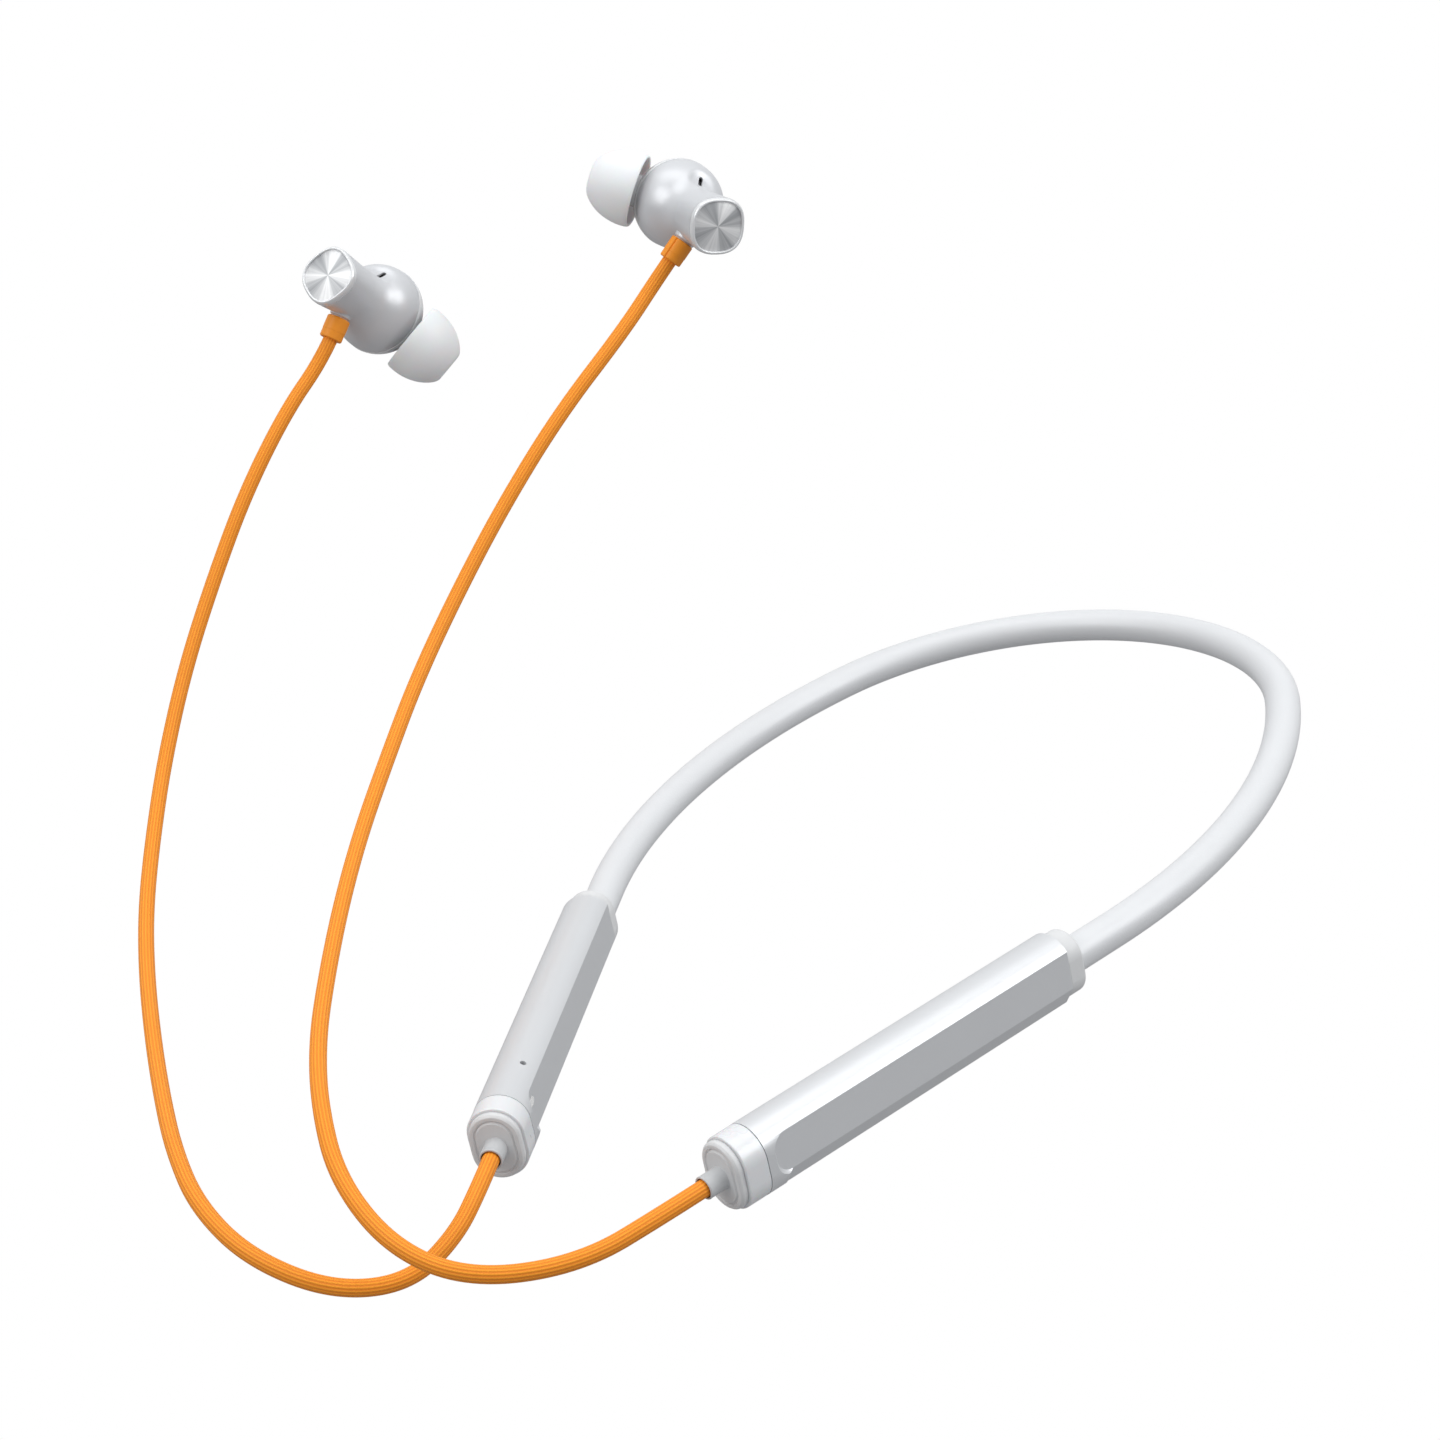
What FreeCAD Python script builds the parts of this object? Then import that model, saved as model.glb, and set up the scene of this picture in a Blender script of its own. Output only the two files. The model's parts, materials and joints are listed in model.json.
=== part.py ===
import FreeCAD, Part
import math
import os
import Sketcher

# Neckband earphones. Origin: the inside of the band's bend, where it rests on the nape. +Z is up,
# +Y points to the wearer's back and +X to the wearer's left. Sizes are in millimetres and degrees.

V = FreeCAD.Vector
doc = FreeCAD.newDocument("NeckbandEarphones")

DIMENSIONS = {
    # band: an oval sleeve that follows a wide bend at the nape and two gentler side bends
    "band_tilt": 22, "band_width": 5.2, "band_height": 4.9,
    "rear_radius": 41, "rear_turn": 66, "side_radius": 95, "side_turn": 43.5, "band_lead": 11,
    "band_bore_width": 1.5, "band_bore_height": 3.2,
    "memory_wire_diameter": 1.1, "band_cable_diameter": 1.2, "band_core_spread": 0.75,
    # housings: a faceted sleeve with a clear rim at the cord end and a cap at each end
    "housing_length": 57.8, "housing_width": 7.8, "housing_height": 10.2, "shell_wall": 1.15,
    "facet_depth": 0.6, "low_facet_depth": 0.62, "low_facet_angle": 35, "facet_end_gap": 5.3,
    "facet_corner": 2.2, "facet_half_height": 2.75, "facet_middle": 0.53, "rim_length": 3.6,
    "band_flange": 2.8, "band_flange_inset": 0.55, "band_socket": 2.2, "band_spigot": 4,
    "cord_lip": 1.1, "cord_lip_inset": 0.4, "cord_plug": 5.4,
    "gland_radius": 1.55, "gland_length": 3.0, "gland_tail": 4.5, "gland_recess": 1.5,
    # frames, cell and boards inside the housings
    "frame_floor": 0.55, "frame_half_width": 1.4, "frame_drop": 2.95, "frame_length": 30,
    "frame_start": 19.5, "frame_stop": 0.8, "frame_stop_height": 1.2, "battery_length": 40,
    "battery_thickness": 4.2, "battery_height": 5.6, "battery_start": 8, "board_thickness": 0.8,
    "board_start": 6, "board_length": 46, "board_offset": 0.95, "board_low": 2.6, "board_high": 1.3,
    "antenna_start": 12, "antenna_length": 20, "antenna_width": 1.8, "antenna_gap": 0.25,
    "antenna_thickness": 0.15,
    # charging socket
    "usb_width": 8.94, "usb_thickness": 3.26, "usb_wall": 0.3, "usb_start": 7,
    "usb_mouth": 3.5, "usb_back": 2.6, "usb_hole_rise": 1.4, "tongue_width": 6.7,
    "tongue_thickness": 0.7, "tongue_recess": 0.9,
    # buttons and switches
    "button_length": 6.8, "button_height": 2.5, "button_proud": 0.4, "button_pitch": 9,
    "button_middle": 32, "button_travel": 0.25, "button_gap": 0.15,
    "button_flange": 0.5, "button_flange_over": 0.4, "switch_length": 3.4, "switch_height": 2.6,
    "switch_reach": 1.35, "plunger_radius": 0.8,
    # microphone and lamp
    "mic_place": 45.9, "mic_angle": 64, "mic_hole_radius": 0.45, "mic_length": 3.5,
    "mic_width": 2.4, "mic_depth": 1.0, "mic_gap": 0.35, "mesh_thickness": 0.12, "mesh_radius": 0.8,
    "lamp_place": 50.9, "lamp_length": 2.4, "lamp_width": 1.2, "lamp_height": 1.6, "lamp_inside": 0.3,
    "led_length": 1.6, "led_height": 0.8, "led_gap": 0.4,
    # earbuds: a ball in two halves with a barrel on the back half
    "ball_radius": 7.1, "bud_wall": 0.9, "seam_drop": 0.8, "rim_step": 0.12,
    "blend_start": 4.56, "blend_end": 9, "blend_radius": 6.5,
    "neck_radius": 4.2, "barrel_radius": 4.5, "barrel_end": 15.0,
    "bezel_height": 1.0, "bezel_wall": 0.65, "bezel_skirt": 1.6, "skirt_wall": 0.4, "disc_depth": 0.2,
    "disc_thickness": 0.5, "snap_magnet_radius": 3.1, "snap_magnet_height": 1.8,
    "nozzle_radius": 2.6, "nozzle_bore": 1.9, "nozzle_end": 12.2, "nozzle_sink": 1.0,
    "tip_radius": 5.9, "tip_rim": 6.9, "tip_front": 14.6, "tip_wall": 0.55, "tip_sleeve_wall": 0.65,
    "tip_sleeve_start": 7.5, "tip_shoulder": 11.2, "tip_mouth": 1.9, "tip_lip": 0.88,
    "driver_clearance": 0.71, "driver_front": 3.2, "driver_back": 1.0, "driver_wall": 0.5,
    "driver_magnet_inset": 1.6, "driver_magnet_height": 1.6, "diaphragm_drop": 0.5,
    "diaphragm_skin": 0.12, "diaphragm_crown": 0.48,
    "vent_length": 2.0, "vent_width": 0.6, "vent_turn": 16, "vent_lean": 46,
    "vent_mesh_over": 0.1,
    # cords and their collars
    "cord_diameter": 2.3, "gland_lead": 7.5, "collar_lead": 5, "collar_radius": 1.8,
    "collar_start": 4.7, "collar_length": 3.6, "collar_place": 8.6, "collar_recess": 1.5,
    "collar_stem_radius": 1.3, "collar_stem": 1.3,
    # clearances
    "fit": 0.05, "face_gap": 0.1,
}

# Each earbud's ball centre, the way its barrel points and the way its cord leaves.
BUD_POSES = {
    "left": (V(-58.9, -35.7, 67.5), V(0.794, -0.545, -0.269), V(-0.485, -0.301, -0.821)),
    "right": (V(-102.9, -56.0, 51.3), V(0.103, -0.948, 0.302), V(-0.253, -0.318, -0.914)),
}
# The nozzle's direction in the earbud's frame: along the cord, across, and along the barrel.
NOZZLE = (0.285, 0.784, -0.552)

# The cords' routes. The first and last two points are worked out from the gland and the collar.
LEFT_ROUTE = [
    V(8, -164, -67.5), V(-2, -172.5, -69), V(-12, -175, -66),
    V(-23, -171.5, -59.5), V(-32, -163.5, -52.5), V(-40.5, -153, -46.5), V(-48.5, -140.5, -40),
    V(-56, -127.5, -32.5), V(-62.5, -114.5, -24.5), V(-68, -101, -15.5), V(-71.5, -89, -5),
    V(-71.5, -79, 7), V(-69, -70, 20.5), V(-65, -60.5, 34.5), V(-60, -50, 47.5),
]
RIGHT_ROUTE = [
    V(-13.5, -160, -67.5), V(-16, -166.5, -72.5), V(-23, -173, -73),
    V(-33.5, -176, -69.5), V(-44.5, -172.5, -65), V(-55, -164.5, -60.5), V(-65.5, -154.5, -56),
    V(-76, -144, -50.5), V(-86, -133.5, -44), V(-95.5, -122.5, -37), V(-103.5, -111.5, -28.5),
    V(-109.5, -101.5, -17.5), V(-111.5, -94, -4), V(-111, -87.5, 9.5), V(-109.5, -81.5, 22.5),
    V(-107, -74.5, 35),
]

# Parts on the board's inner face: (place along it, height) and (length, thickness, height).
BLUETOOTH_CHIP = ((20, -2.2), (5, 0.6, 2.8))
BOARD_PARTS = {
    "charger_chip": ((8, -1.8), (3, 0.6, 2.6)), "capacitor": ((12.4, -0.4), (1, 0.5, 0.5)),
    "crystal": ((15.5, -1.6), (2, 0.5, 1.6)), "inductor": ((27, -1.2), (1.6, 0.7, 1.2)),
    "flash_chip": ((30, -2.1), (3, 0.6, 1.9)),
}


class Size:
    # A number from the sheet that remembers its expression, so a feature can be bound to it.
    def __init__(self, value, text):
        self.value = value
        self.text = text

    def join(self, other, sign, value):
        return Size(value, "(%s %s %s)" % (self.text, sign, as_size(other).text))

    def __add__(self, other):
        return self.join(other, "+", self.value + as_size(other).value)

    def __sub__(self, other):
        return self.join(other, "-", self.value - as_size(other).value)

    def __mul__(self, other):
        return self.join(other, "*", self.value * as_size(other).value)

    def __truediv__(self, other):
        return self.join(other, "/", self.value / as_size(other).value)

    def __neg__(self):
        return Size(-self.value, "(0 - %s)" % self.text)

    def root(self):
        return Size(math.sqrt(self.value), "sqrt(%s)" % self.text)


def as_size(number):
    return number if isinstance(number, Size) else Size(float(number), "%g" % number)


class Sheet:
    # The dimension sheet: sheet.band_width is the Size of that cell.
    def __init__(self, dimensions):
        self.cells = {}
        page = doc.addObject("Spreadsheet::Sheet", "Dims")
        for row, (name, value) in enumerate(dimensions.items(), start=1):
            page.set("A%d" % row, name)
            page.set("B%d" % row, str(value))
            page.setAlias("B%d" % row, name)
        doc.recompute()
        for name in dimensions:
            self.cells[name] = Size(float(page.get(name)), "Dims." + name)

    def __getattr__(self, name):
        return self.cells[name]


D = Sheet(DIMENSIONS)


def bind(thing, prop, size):
    thing.setExpression(prop, as_size(size).text)


# ---- bodies made of sketches ----

class Piece:
    # A PartDesign body with short calls for the features that the pieces need.
    def __init__(self, label, placement):
        self.body = doc.addObject("PartDesign::Body", label)
        self.body.Label = label
        self.body.Placement = placement
        self.count = 0

    def sketch(self, role, offset=0):
        self.count += 1
        sketch = self.body.newObject("Sketcher::SketchObject", "%s_sk%d" % (self.body.Name, self.count))
        plane = [f for f in self.body.Origin.OriginFeatures if f.Role == role][0]
        sketch.AttachmentSupport = [(plane, "")]
        sketch.MapMode = "FlatFace"
        bind(sketch, "AttachmentOffset.Base.z", offset)
        return sketch

    def feature(self, kind, sketch):
        made = self.body.newObject("PartDesign::" + kind, "%s_%s%d" % (self.body.Name, kind, self.count))
        made.Profile = sketch
        sketch.Visibility = False
        return made

    def pad(self, sketch, length):
        made = self.feature("Pad", sketch)
        bind(made, "Length", length)

    def pocket(self, sketch, length, forward=True):
        made = self.feature("Pocket", sketch)
        made.Reversed = forward
        bind(made, "Length", length)

    def revolve(self, sketch):
        made = self.feature("Revolution", sketch)
        made.ReferenceAxis = (sketch, ["V_Axis"])
        made.Angle = 360


def pin_point(sketch, curve, end, x, y):
    for kind, size in (("DistanceX", x), ("DistanceY", y)):
        size = as_size(size)
        index = sketch.addConstraint(Sketcher.Constraint(kind, -1, 1, curve, end, size.value))
        sketch.setExpression("Constraints[%d]" % index, size.text)


def draw_circle(sketch, radius, x=0, y=0):
    x, y, radius = as_size(x), as_size(y), as_size(radius)
    curve = sketch.addGeometry(Part.Circle(V(x.value, y.value, 0), V(0, 0, 1), radius.value), False)
    pin_point(sketch, curve, 3, x, y)
    index = sketch.addConstraint(Sketcher.Constraint("Radius", curve, radius.value))
    sketch.setExpression("Constraints[%d]" % index, radius.text)


def arc_between(start, end, radius, side):
    # The minor arc of this radius from start to end, bulging to the right (+1) or left (-1).
    chord = end - start
    across = V(chord.y, -chord.x, 0).normalize() * side
    rise = radius - math.sqrt(max(radius ** 2 - (chord.Length / 2) ** 2, 0))
    return Part.Arc(start, (start + end) / 2 + across * rise, end)


def draw_outline(sketch, corners):
    # corners: (x, y) starts a straight edge, (x, y, radius, side) starts an arc to the next corner.
    points = [(as_size(c[0]), as_size(c[1])) for c in corners]
    for index, corner in enumerate(corners):
        here = points[index]
        after = points[(index + 1) % len(points)]
        start = V(here[0].value, here[1].value, 0)
        end = V(after[0].value, after[1].value, 0)
        if len(corner) == 2:
            curve = sketch.addGeometry(Part.LineSegment(start, end), False)
            pin_point(sketch, curve, 1, *here)
            pin_point(sketch, curve, 2, *after)
            continue
        radius = as_size(corner[2])
        curve = sketch.addGeometry(arc_between(start, end, radius.value, corner[3]), False)
        # an arc is stored anticlockwise, so its ends swap when it bulges to the left
        first, last = (1, 2) if corner[3] > 0 else (2, 1)
        pin_point(sketch, curve, first, *here)
        pin_point(sketch, curve, last, *after)
        fixed = sketch.addConstraint(Sketcher.Constraint("Radius", curve, radius.value))
        sketch.setExpression("Constraints[%d]" % fixed, radius.text)


def draw_box(sketch, x0, x1, y0, y1):
    draw_outline(sketch, [(x0, y0), (x1, y0), (x1, y1), (x0, y1)])


def draw_slot(sketch, half_width, half_height, x=0, y=0):
    # An upright slot: two half circles joined by straight sides.
    half_width, x, y = as_size(half_width), as_size(x), as_size(y)
    straight = as_size(half_height) - half_width
    low, high = y - straight, y + straight
    left, right = x - half_width, x + half_width
    for middle, turn in ((high, 0), (low, math.pi)):
        circle = Part.Circle(V(x.value, middle.value, 0), V(0, 0, 1), half_width.value)
        curve = sketch.addGeometry(Part.ArcOfCircle(circle, turn, turn + math.pi), False)
        pin_point(sketch, curve, 3, x, middle)
        pin_point(sketch, curve, 1, right if turn == 0 else left, middle)
        index = sketch.addConstraint(Sketcher.Constraint("DistanceY", -1, 1, curve, 2, middle.value))
        sketch.setExpression("Constraints[%d]" % index, middle.text)
    for side in (left, right):
        line = Part.LineSegment(V(side.value, low.value, 0), V(side.value, high.value, 0))
        curve = sketch.addGeometry(line, False)
        pin_point(sketch, curve, 1, side, low)
        pin_point(sketch, curve, 2, side, high)


def lathe(label, placement, corners):
    # A turned piece: its outline is (distance from the axis, place along the axis).
    piece = Piece(label, placement)
    sketch = piece.sketch("XZ_Plane")
    draw_outline(sketch, corners)
    piece.revolve(sketch)
    return piece


def disc(label, placement, radius, start, end):
    return lathe(label, placement, [(0, start), (radius, start), (radius, end), (0, end)])


# ---- Part primitives ----

def block(name, x, y, z, placement=None):
    # A box between two values along each axis.
    made = doc.addObject("Part::Box", name)
    for prop, (low, high) in (("Length", x), ("Width", y), ("Height", z)):
        bind(made, prop, as_size(high) - as_size(low))
    if placement is None:
        for axis, (low, _) in (("x", x), ("y", y), ("z", z)):
            bind(made, "Placement.Base." + axis, low)
    else:
        corner = V(as_size(x[0]).value, as_size(y[0]).value, as_size(z[0]).value)
        made.Placement = placement * FreeCAD.Placement(corner, FreeCAD.Rotation())
    return made


def plate(label, placement, x, y, z):
    # A plain rectangular piece, as a body with its own frame.
    piece = Piece(label, placement)
    sketch = piece.sketch("XY_Plane", z[0])
    draw_box(sketch, x[0], x[1], y[0], y[1])
    piece.pad(sketch, as_size(z[1]) - as_size(z[0]))


def rod(name, radius, length, placement):
    made = doc.addObject("Part::Cylinder", name)
    bind(made, "Radius", radius)
    bind(made, "Height", length)
    made.Placement = placement
    return made


def cut(name, base, tool):
    made = doc.addObject("Part::Cut", name)
    made.Base = base
    made.Tool = tool
    return made


def fuse(name, shapes):
    made = doc.addObject("Part::MultiFuse", name)
    made.Shapes = shapes
    made.Refine = True
    return made


def label_part(made, label, placement):
    made.Label = label
    made.Placement = placement
    return made


def solid_part(label, shape, placement):
    made = doc.addObject("Part::Feature", label)
    made.Label = label
    made.Shape = shape
    made.Placement = placement
    return made


def aim(direction):
    return FreeCAD.Rotation(V(0, 0, 1), direction)


def at(position, rotation=None):
    return FreeCAD.Placement(position, rotation or FreeCAD.Rotation())


# ---- frames ----

BAND = at(V(), FreeCAD.Rotation(V(1, 0, 0), D.band_tilt.value))
HALF_WIDTH = D.housing_width / 2
HALF_HEIGHT = D.housing_height / 2
CAVITY_WIDTH = HALF_WIDTH - D.shell_wall
CAVITY_HEIGHT = HALF_HEIGHT - D.shell_wall
SHELL_LENGTH = D.housing_length - D.rim_length
GLAND_MOUTH = D.housing_length + D.cord_lip + D.gland_length
FACET_REACH = HALF_WIDTH - D.facet_depth
LOW_FACET_REACH = (HALF_WIDTH + (HALF_HEIGHT - HALF_WIDTH) * math.sin(math.radians(D.low_facet_angle.value))
                   - D.low_facet_depth)
# The cavity's wall curves in above its straight part, so the buttons' flanges stop short of it there.
FLANGE_RISE = D.button_height / 2 + D.button_flange_over - (HALF_HEIGHT - HALF_WIDTH)
BUTTON_BASE = (CAVITY_WIDTH * CAVITY_WIDTH - FLANGE_RISE * FLANGE_RISE).root() - D.fit - D.button_flange
MIC_REACH = CAVITY_WIDTH - D.mic_gap
DRIVER_RADIUS = ((D.ball_radius - D.bud_wall) * (D.ball_radius - D.bud_wall)
                 - D.driver_front * D.driver_front).root() - D.driver_clearance
DRIVER_MAGNET_RADIUS = DRIVER_RADIUS - D.driver_magnet_inset
# How far a cutting shape reaches past the surface that it planes.
PAST = 4
SIDES = {"left": 1, "right": -1}


def heading(degrees):
    return V(math.cos(math.radians(degrees)), -math.sin(math.radians(degrees)), 0)


def swing(radius, start, end):
    # How far a curve of this radius travels while its heading turns from start to end degrees.
    a, b = math.radians(start), math.radians(end)
    return V(radius * (math.sin(b) - math.sin(a)), radius * (math.cos(b) - math.cos(a)), 0)


def band_half():
    # The wearer's left half of the band's centreline: corners of its arcs and of its lead.
    rear, side = D.rear_turn.value, D.rear_turn.value + D.side_turn.value
    rear_r, side_r = D.rear_radius.value, D.side_radius.value
    apex = V(0, D.band_width.value / 2, 0)
    bend = apex + swing(rear_r, 0, rear)
    middle = bend + swing(side_r, rear, (rear + side) / 2)
    lead = bend + swing(side_r, rear, side)
    end = lead + heading(side) * D.band_lead.value
    return apex, bend, middle, lead, end, side


def housing_frame(side):
    # x runs from the band end to the cord end, z is the band's own up.
    end, turn = band_half()[4:]
    angle = -turn if side == "left" else turn - 180
    place = V(SIDES[side] * end.x, end.y, 0)
    return BAND * at(place, FreeCAD.Rotation(V(0, 0, 1), angle))


def bud_frame(side):
    centre, barrel, cord = BUD_POSES[side]
    across = barrel.cross(cord)
    return at(centre, FreeCAD.Rotation(cord, across, barrel, "ZXY"))


def nozzle_frame(side):
    along_cord, across, along_barrel = NOZZLE
    direction = V(along_cord, -SIDES[side] * across, along_barrel)
    return bud_frame(side) * at(V(), aim(direction))


# ---- band ----

def band_wire(short=0, rise=0):
    # The band's centreline, less a stretch at each end and raised by an offset.
    apex, bend, middle, lead, end, turn = band_half()
    end = end - heading(turn) * short
    mirror = lambda p: V(-p.x, p.y, p.z)
    edges = [
        Part.LineSegment(mirror(end), mirror(lead)), Part.Arc(mirror(lead), mirror(middle), mirror(bend)),
        Part.Arc(mirror(bend), apex, bend), Part.Arc(bend, middle, lead), Part.LineSegment(lead, end),
    ]
    wire = Part.Wire([edge.toShape() for edge in edges])
    wire.translate(V(0, 0, rise))
    return wire


def swept(path, section):
    return path.makePipeShell([section], True, False)


def oval(width, height, frame):
    # An oval section, width across the band and height along its normal.
    long_way = height >= width
    major, minor = max(width, height) / 2, min(width, height) / 2
    shape = Part.Ellipse(V(), major, minor).toShape()
    if long_way:
        shape.rotate(V(), V(0, 0, 1), 90)
    wire = Part.Wire([shape])
    wire.Placement = frame * wire.Placement
    return wire


def band_start(short, rise):
    # A frame at the band's right end, its z along the path, its y along the band's normal.
    end, turn = band_half()[4:]
    end = end - heading(turn) * short
    along = -heading(turn)
    along = V(-along.x, along.y, 0)
    across = V(0, 0, 1).cross(along)
    return at(V(-end.x, end.y, rise), FreeCAD.Rotation(across, V(0, 0, 1), along, "ZXY"))


def make_band():
    insert = D.band_flange.value - D.band_socket.value
    sleeve = swept(band_wire(insert), oval(D.band_width.value, D.band_height.value, band_start(insert, 0)))
    bore = swept(band_wire(), oval(D.band_bore_width.value, D.band_bore_height.value, band_start(0, 0)))
    solid_part("band_sleeve", sleeve.cut(bore), BAND)
    spread = D.band_core_spread.value
    cores = (("memory_wire", D.memory_wire_diameter.value, spread),
             ("band_cable", D.band_cable_diameter.value, -spread))
    for label, diameter, rise in cores:
        core = swept(band_wire(-2, rise), oval(diameter, diameter, band_start(-2, rise)))
        solid_part(label, core, BAND)


# ---- housings ----

def slot_piece(label, frame, half_width, half_height, start, end):
    piece = Piece(label, frame)
    sketch = piece.sketch("YZ_Plane", start)
    draw_slot(sketch, half_width, half_height)
    piece.pad(sketch, as_size(end) - as_size(start))
    return piece


def slot_bore(piece, half_width, half_height, start, length):
    sketch = piece.sketch("YZ_Plane", start)
    draw_slot(sketch, half_width, half_height)
    piece.pocket(sketch, length)


def facet_tools(side):
    # Blocks that plane flats along both sides of the shell, above and below its corners. The upper
    # flats end in two rounded corners.
    tools = []
    end = D.housing_length - D.facet_end_gap
    stop = end - D.facet_corner
    inner = D.facet_half_height - D.facet_corner
    for sign in (1, -1):
        name = "%s_facet_%s" % (side, "out" if sign > 0 else "in")
        reach = span(sign, FACET_REACH)
        tools.append(block(name, (-PAST, stop), reach, (-HALF_HEIGHT, HALF_HEIGHT)))
        tip = (D.facet_middle - inner, D.facet_middle + inner)
        tools.append(block(name + "_tip", (stop, end), reach, tip))
        for corner in (-1, 1):
            rise = D.facet_middle + inner * corner
            spot = at(V(stop.value, reach[0].value, rise.value), aim(V(0, 1, 0)))
            tools.append(rod("%s_corner%d" % (name, corner), D.facet_corner, PAST, spot))
        lean = FreeCAD.Rotation(V(1, 0, 0), -sign * D.low_facet_angle.value)
        reach = span(sign, LOW_FACET_REACH)
        tools.append(block(name + "_low", (-PAST, stop), reach, (-PAST, PAST), at(V(), lean)))
    return tools


def span(sign, reach):
    # A block's two faces across the housing: from a reach outwards, on the side that sign says.
    return (reach, reach + PAST) if sign > 0 else (-reach - PAST, -reach)


def make_shell(side):
    frame = housing_frame(side)
    sleeve = slot_piece("%s_shell_blank" % side, at(V()), HALF_WIDTH, HALF_HEIGHT, 0, SHELL_LENGTH)
    slot_bore(sleeve, CAVITY_WIDTH, CAVITY_HEIGHT, 0, SHELL_LENGTH)
    tools = facet_tools(side)
    if side == "right":
        tools += port_tools() + button_tools() + mic_tools() + lamp_tools()
    shell = cut("%s_shell_cut" % side, sleeve.body, fuse("%s_shell_tools" % side, tools))
    label_part(shell, "%s_shell" % side, frame)


def port_tools():
    gap = D.button_gap
    across = usb_across()
    along = (D.usb_start - gap, D.usb_start + D.usb_width + gap)
    through = (-HALF_HEIGHT - PAST, -CAVITY_HEIGHT + D.usb_hole_rise)
    return [block("port_hole", along, (across[0] - gap, across[1] + gap), through)]


def usb_across():
    # The socket's faces across the housing: it is mounted on the board's outward face.
    return D.board_offset - D.usb_thickness, D.board_offset


def button_middles():
    return {"volume_up_button": D.button_middle - D.button_pitch, "call_button": D.button_middle,
            "volume_down_button": D.button_middle + D.button_pitch}


def button_tools():
    half = D.button_length / 2 + D.button_gap
    tall = D.button_height / 2 + D.button_gap
    return [block(name + "_hole", (middle - half, middle + half), (-HALF_WIDTH - PAST, -BUTTON_BASE),
                  (-tall, tall)) for name, middle in button_middles().items()]


def shoulder_frame(place, turn, reach):
    # On the rounded upper inner corner, its x along the housing and its z pointing out.
    angle = math.radians(turn.value)
    out = V(0, math.cos(angle), math.sin(angle))
    arc_centre = V(place.value, 0, HALF_HEIGHT.value - HALF_WIDTH.value)
    return at(arc_centre + out * reach.value, FreeCAD.Rotation(V(1, 0, 0), out.cross(V(1, 0, 0)), out, "ZXY"))


def mic_tools():
    spot = shoulder_frame(D.mic_place, D.mic_angle, MIC_REACH)
    return [rod("mic_hole", D.mic_hole_radius, HALF_WIDTH, spot)]


def lamp_outline(name, grow, high):
    # A slot-shaped plug along the housing, from inside the cavity to a reach across it.
    low = CAVITY_WIDTH - D.lamp_inside
    half = D.lamp_width / 2 + grow
    straight = (D.lamp_length - D.lamp_width) / 2
    shapes = [block(name + "_mid", (D.lamp_place - straight, D.lamp_place + straight), (low, high),
                    (D.lamp_height - half, D.lamp_height + half))]
    for end in (-1, 1):
        spot = V((D.lamp_place + straight * end).value, low.value, D.lamp_height.value)
        shapes.append(rod("%s_end%d" % (name, end), half, high - low, at(spot, aim(V(0, 1, 0)))))
    return shapes


def lamp_tools():
    return lamp_outline("lamp_hole", D.fit, HALF_WIDTH + PAST)


def make_caps(side):
    frame = housing_frame(side)
    flange_width = HALF_WIDTH - D.band_flange_inset
    flange_height = HALF_HEIGHT - D.band_flange_inset
    cap = slot_piece("%s_band_cap" % side, frame, flange_width, flange_height, -D.band_flange, 0)
    spigot = cap.sketch("YZ_Plane", 0)
    draw_slot(spigot, CAVITY_WIDTH - D.fit, CAVITY_HEIGHT - D.fit)
    cap.pad(spigot, D.band_spigot)
    socket = cap.sketch("YZ_Plane", -D.band_flange)
    draw_ellipse(socket, D.band_width / 2 + D.fit, D.band_height / 2 + D.fit)
    cap.pocket(socket, D.band_socket)
    hole = cap.sketch("YZ_Plane", -D.band_flange)
    draw_circle(hole, D.band_bore_height / 2)
    cap.pocket(hole, D.band_flange + D.band_spigot)

    rim = slot_piece("%s_clear_rim" % side, frame, HALF_WIDTH, HALF_HEIGHT, SHELL_LENGTH, D.housing_length)
    slot_bore(rim, CAVITY_WIDTH, CAVITY_HEIGHT, SHELL_LENGTH, D.rim_length)

    lip_width = HALF_WIDTH - D.cord_lip_inset
    lip_height = HALF_HEIGHT - D.cord_lip_inset
    plug_start = D.housing_length - D.cord_plug
    cap = slot_piece("%s_cord_cap" % side, frame, CAVITY_WIDTH - D.fit, CAVITY_HEIGHT - D.fit, plug_start,
                     D.housing_length)
    lip = cap.sketch("YZ_Plane", D.housing_length)
    draw_slot(lip, lip_width, lip_height)
    cap.pad(lip, D.cord_lip)
    hole = cap.sketch("YZ_Plane", plug_start)
    draw_circle(hole, D.gland_radius + D.fit)
    cap.pocket(hole, D.cord_plug + D.cord_lip)

    end = GLAND_MOUTH
    start = D.housing_length + D.cord_lip - D.gland_tail
    seat = end - D.gland_recess
    wire_bore = D.cord_diameter / 4
    recess = D.cord_diameter / 2 + D.fit
    lathe("%s_cord_gland" % side, frame * at(V(), aim(V(1, 0, 0))), [
        (wire_bore, start), (D.gland_radius, start), (D.gland_radius, end), (recess, end),
        (recess, seat), (wire_bore, seat)])


def draw_ellipse(sketch, half_width, half_height):
    # An oval, its width along the sketch's x. The longer half size has to be given first.
    wide, tall = half_width.value, half_height.value
    if wide >= tall:
        shape = Part.Ellipse(V(), wide, tall)
    else:
        shape = Part.Ellipse(V(0, tall, 0), V(-wide, 0, 0), V())
    sketch.addGeometry(shape, False)


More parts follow.
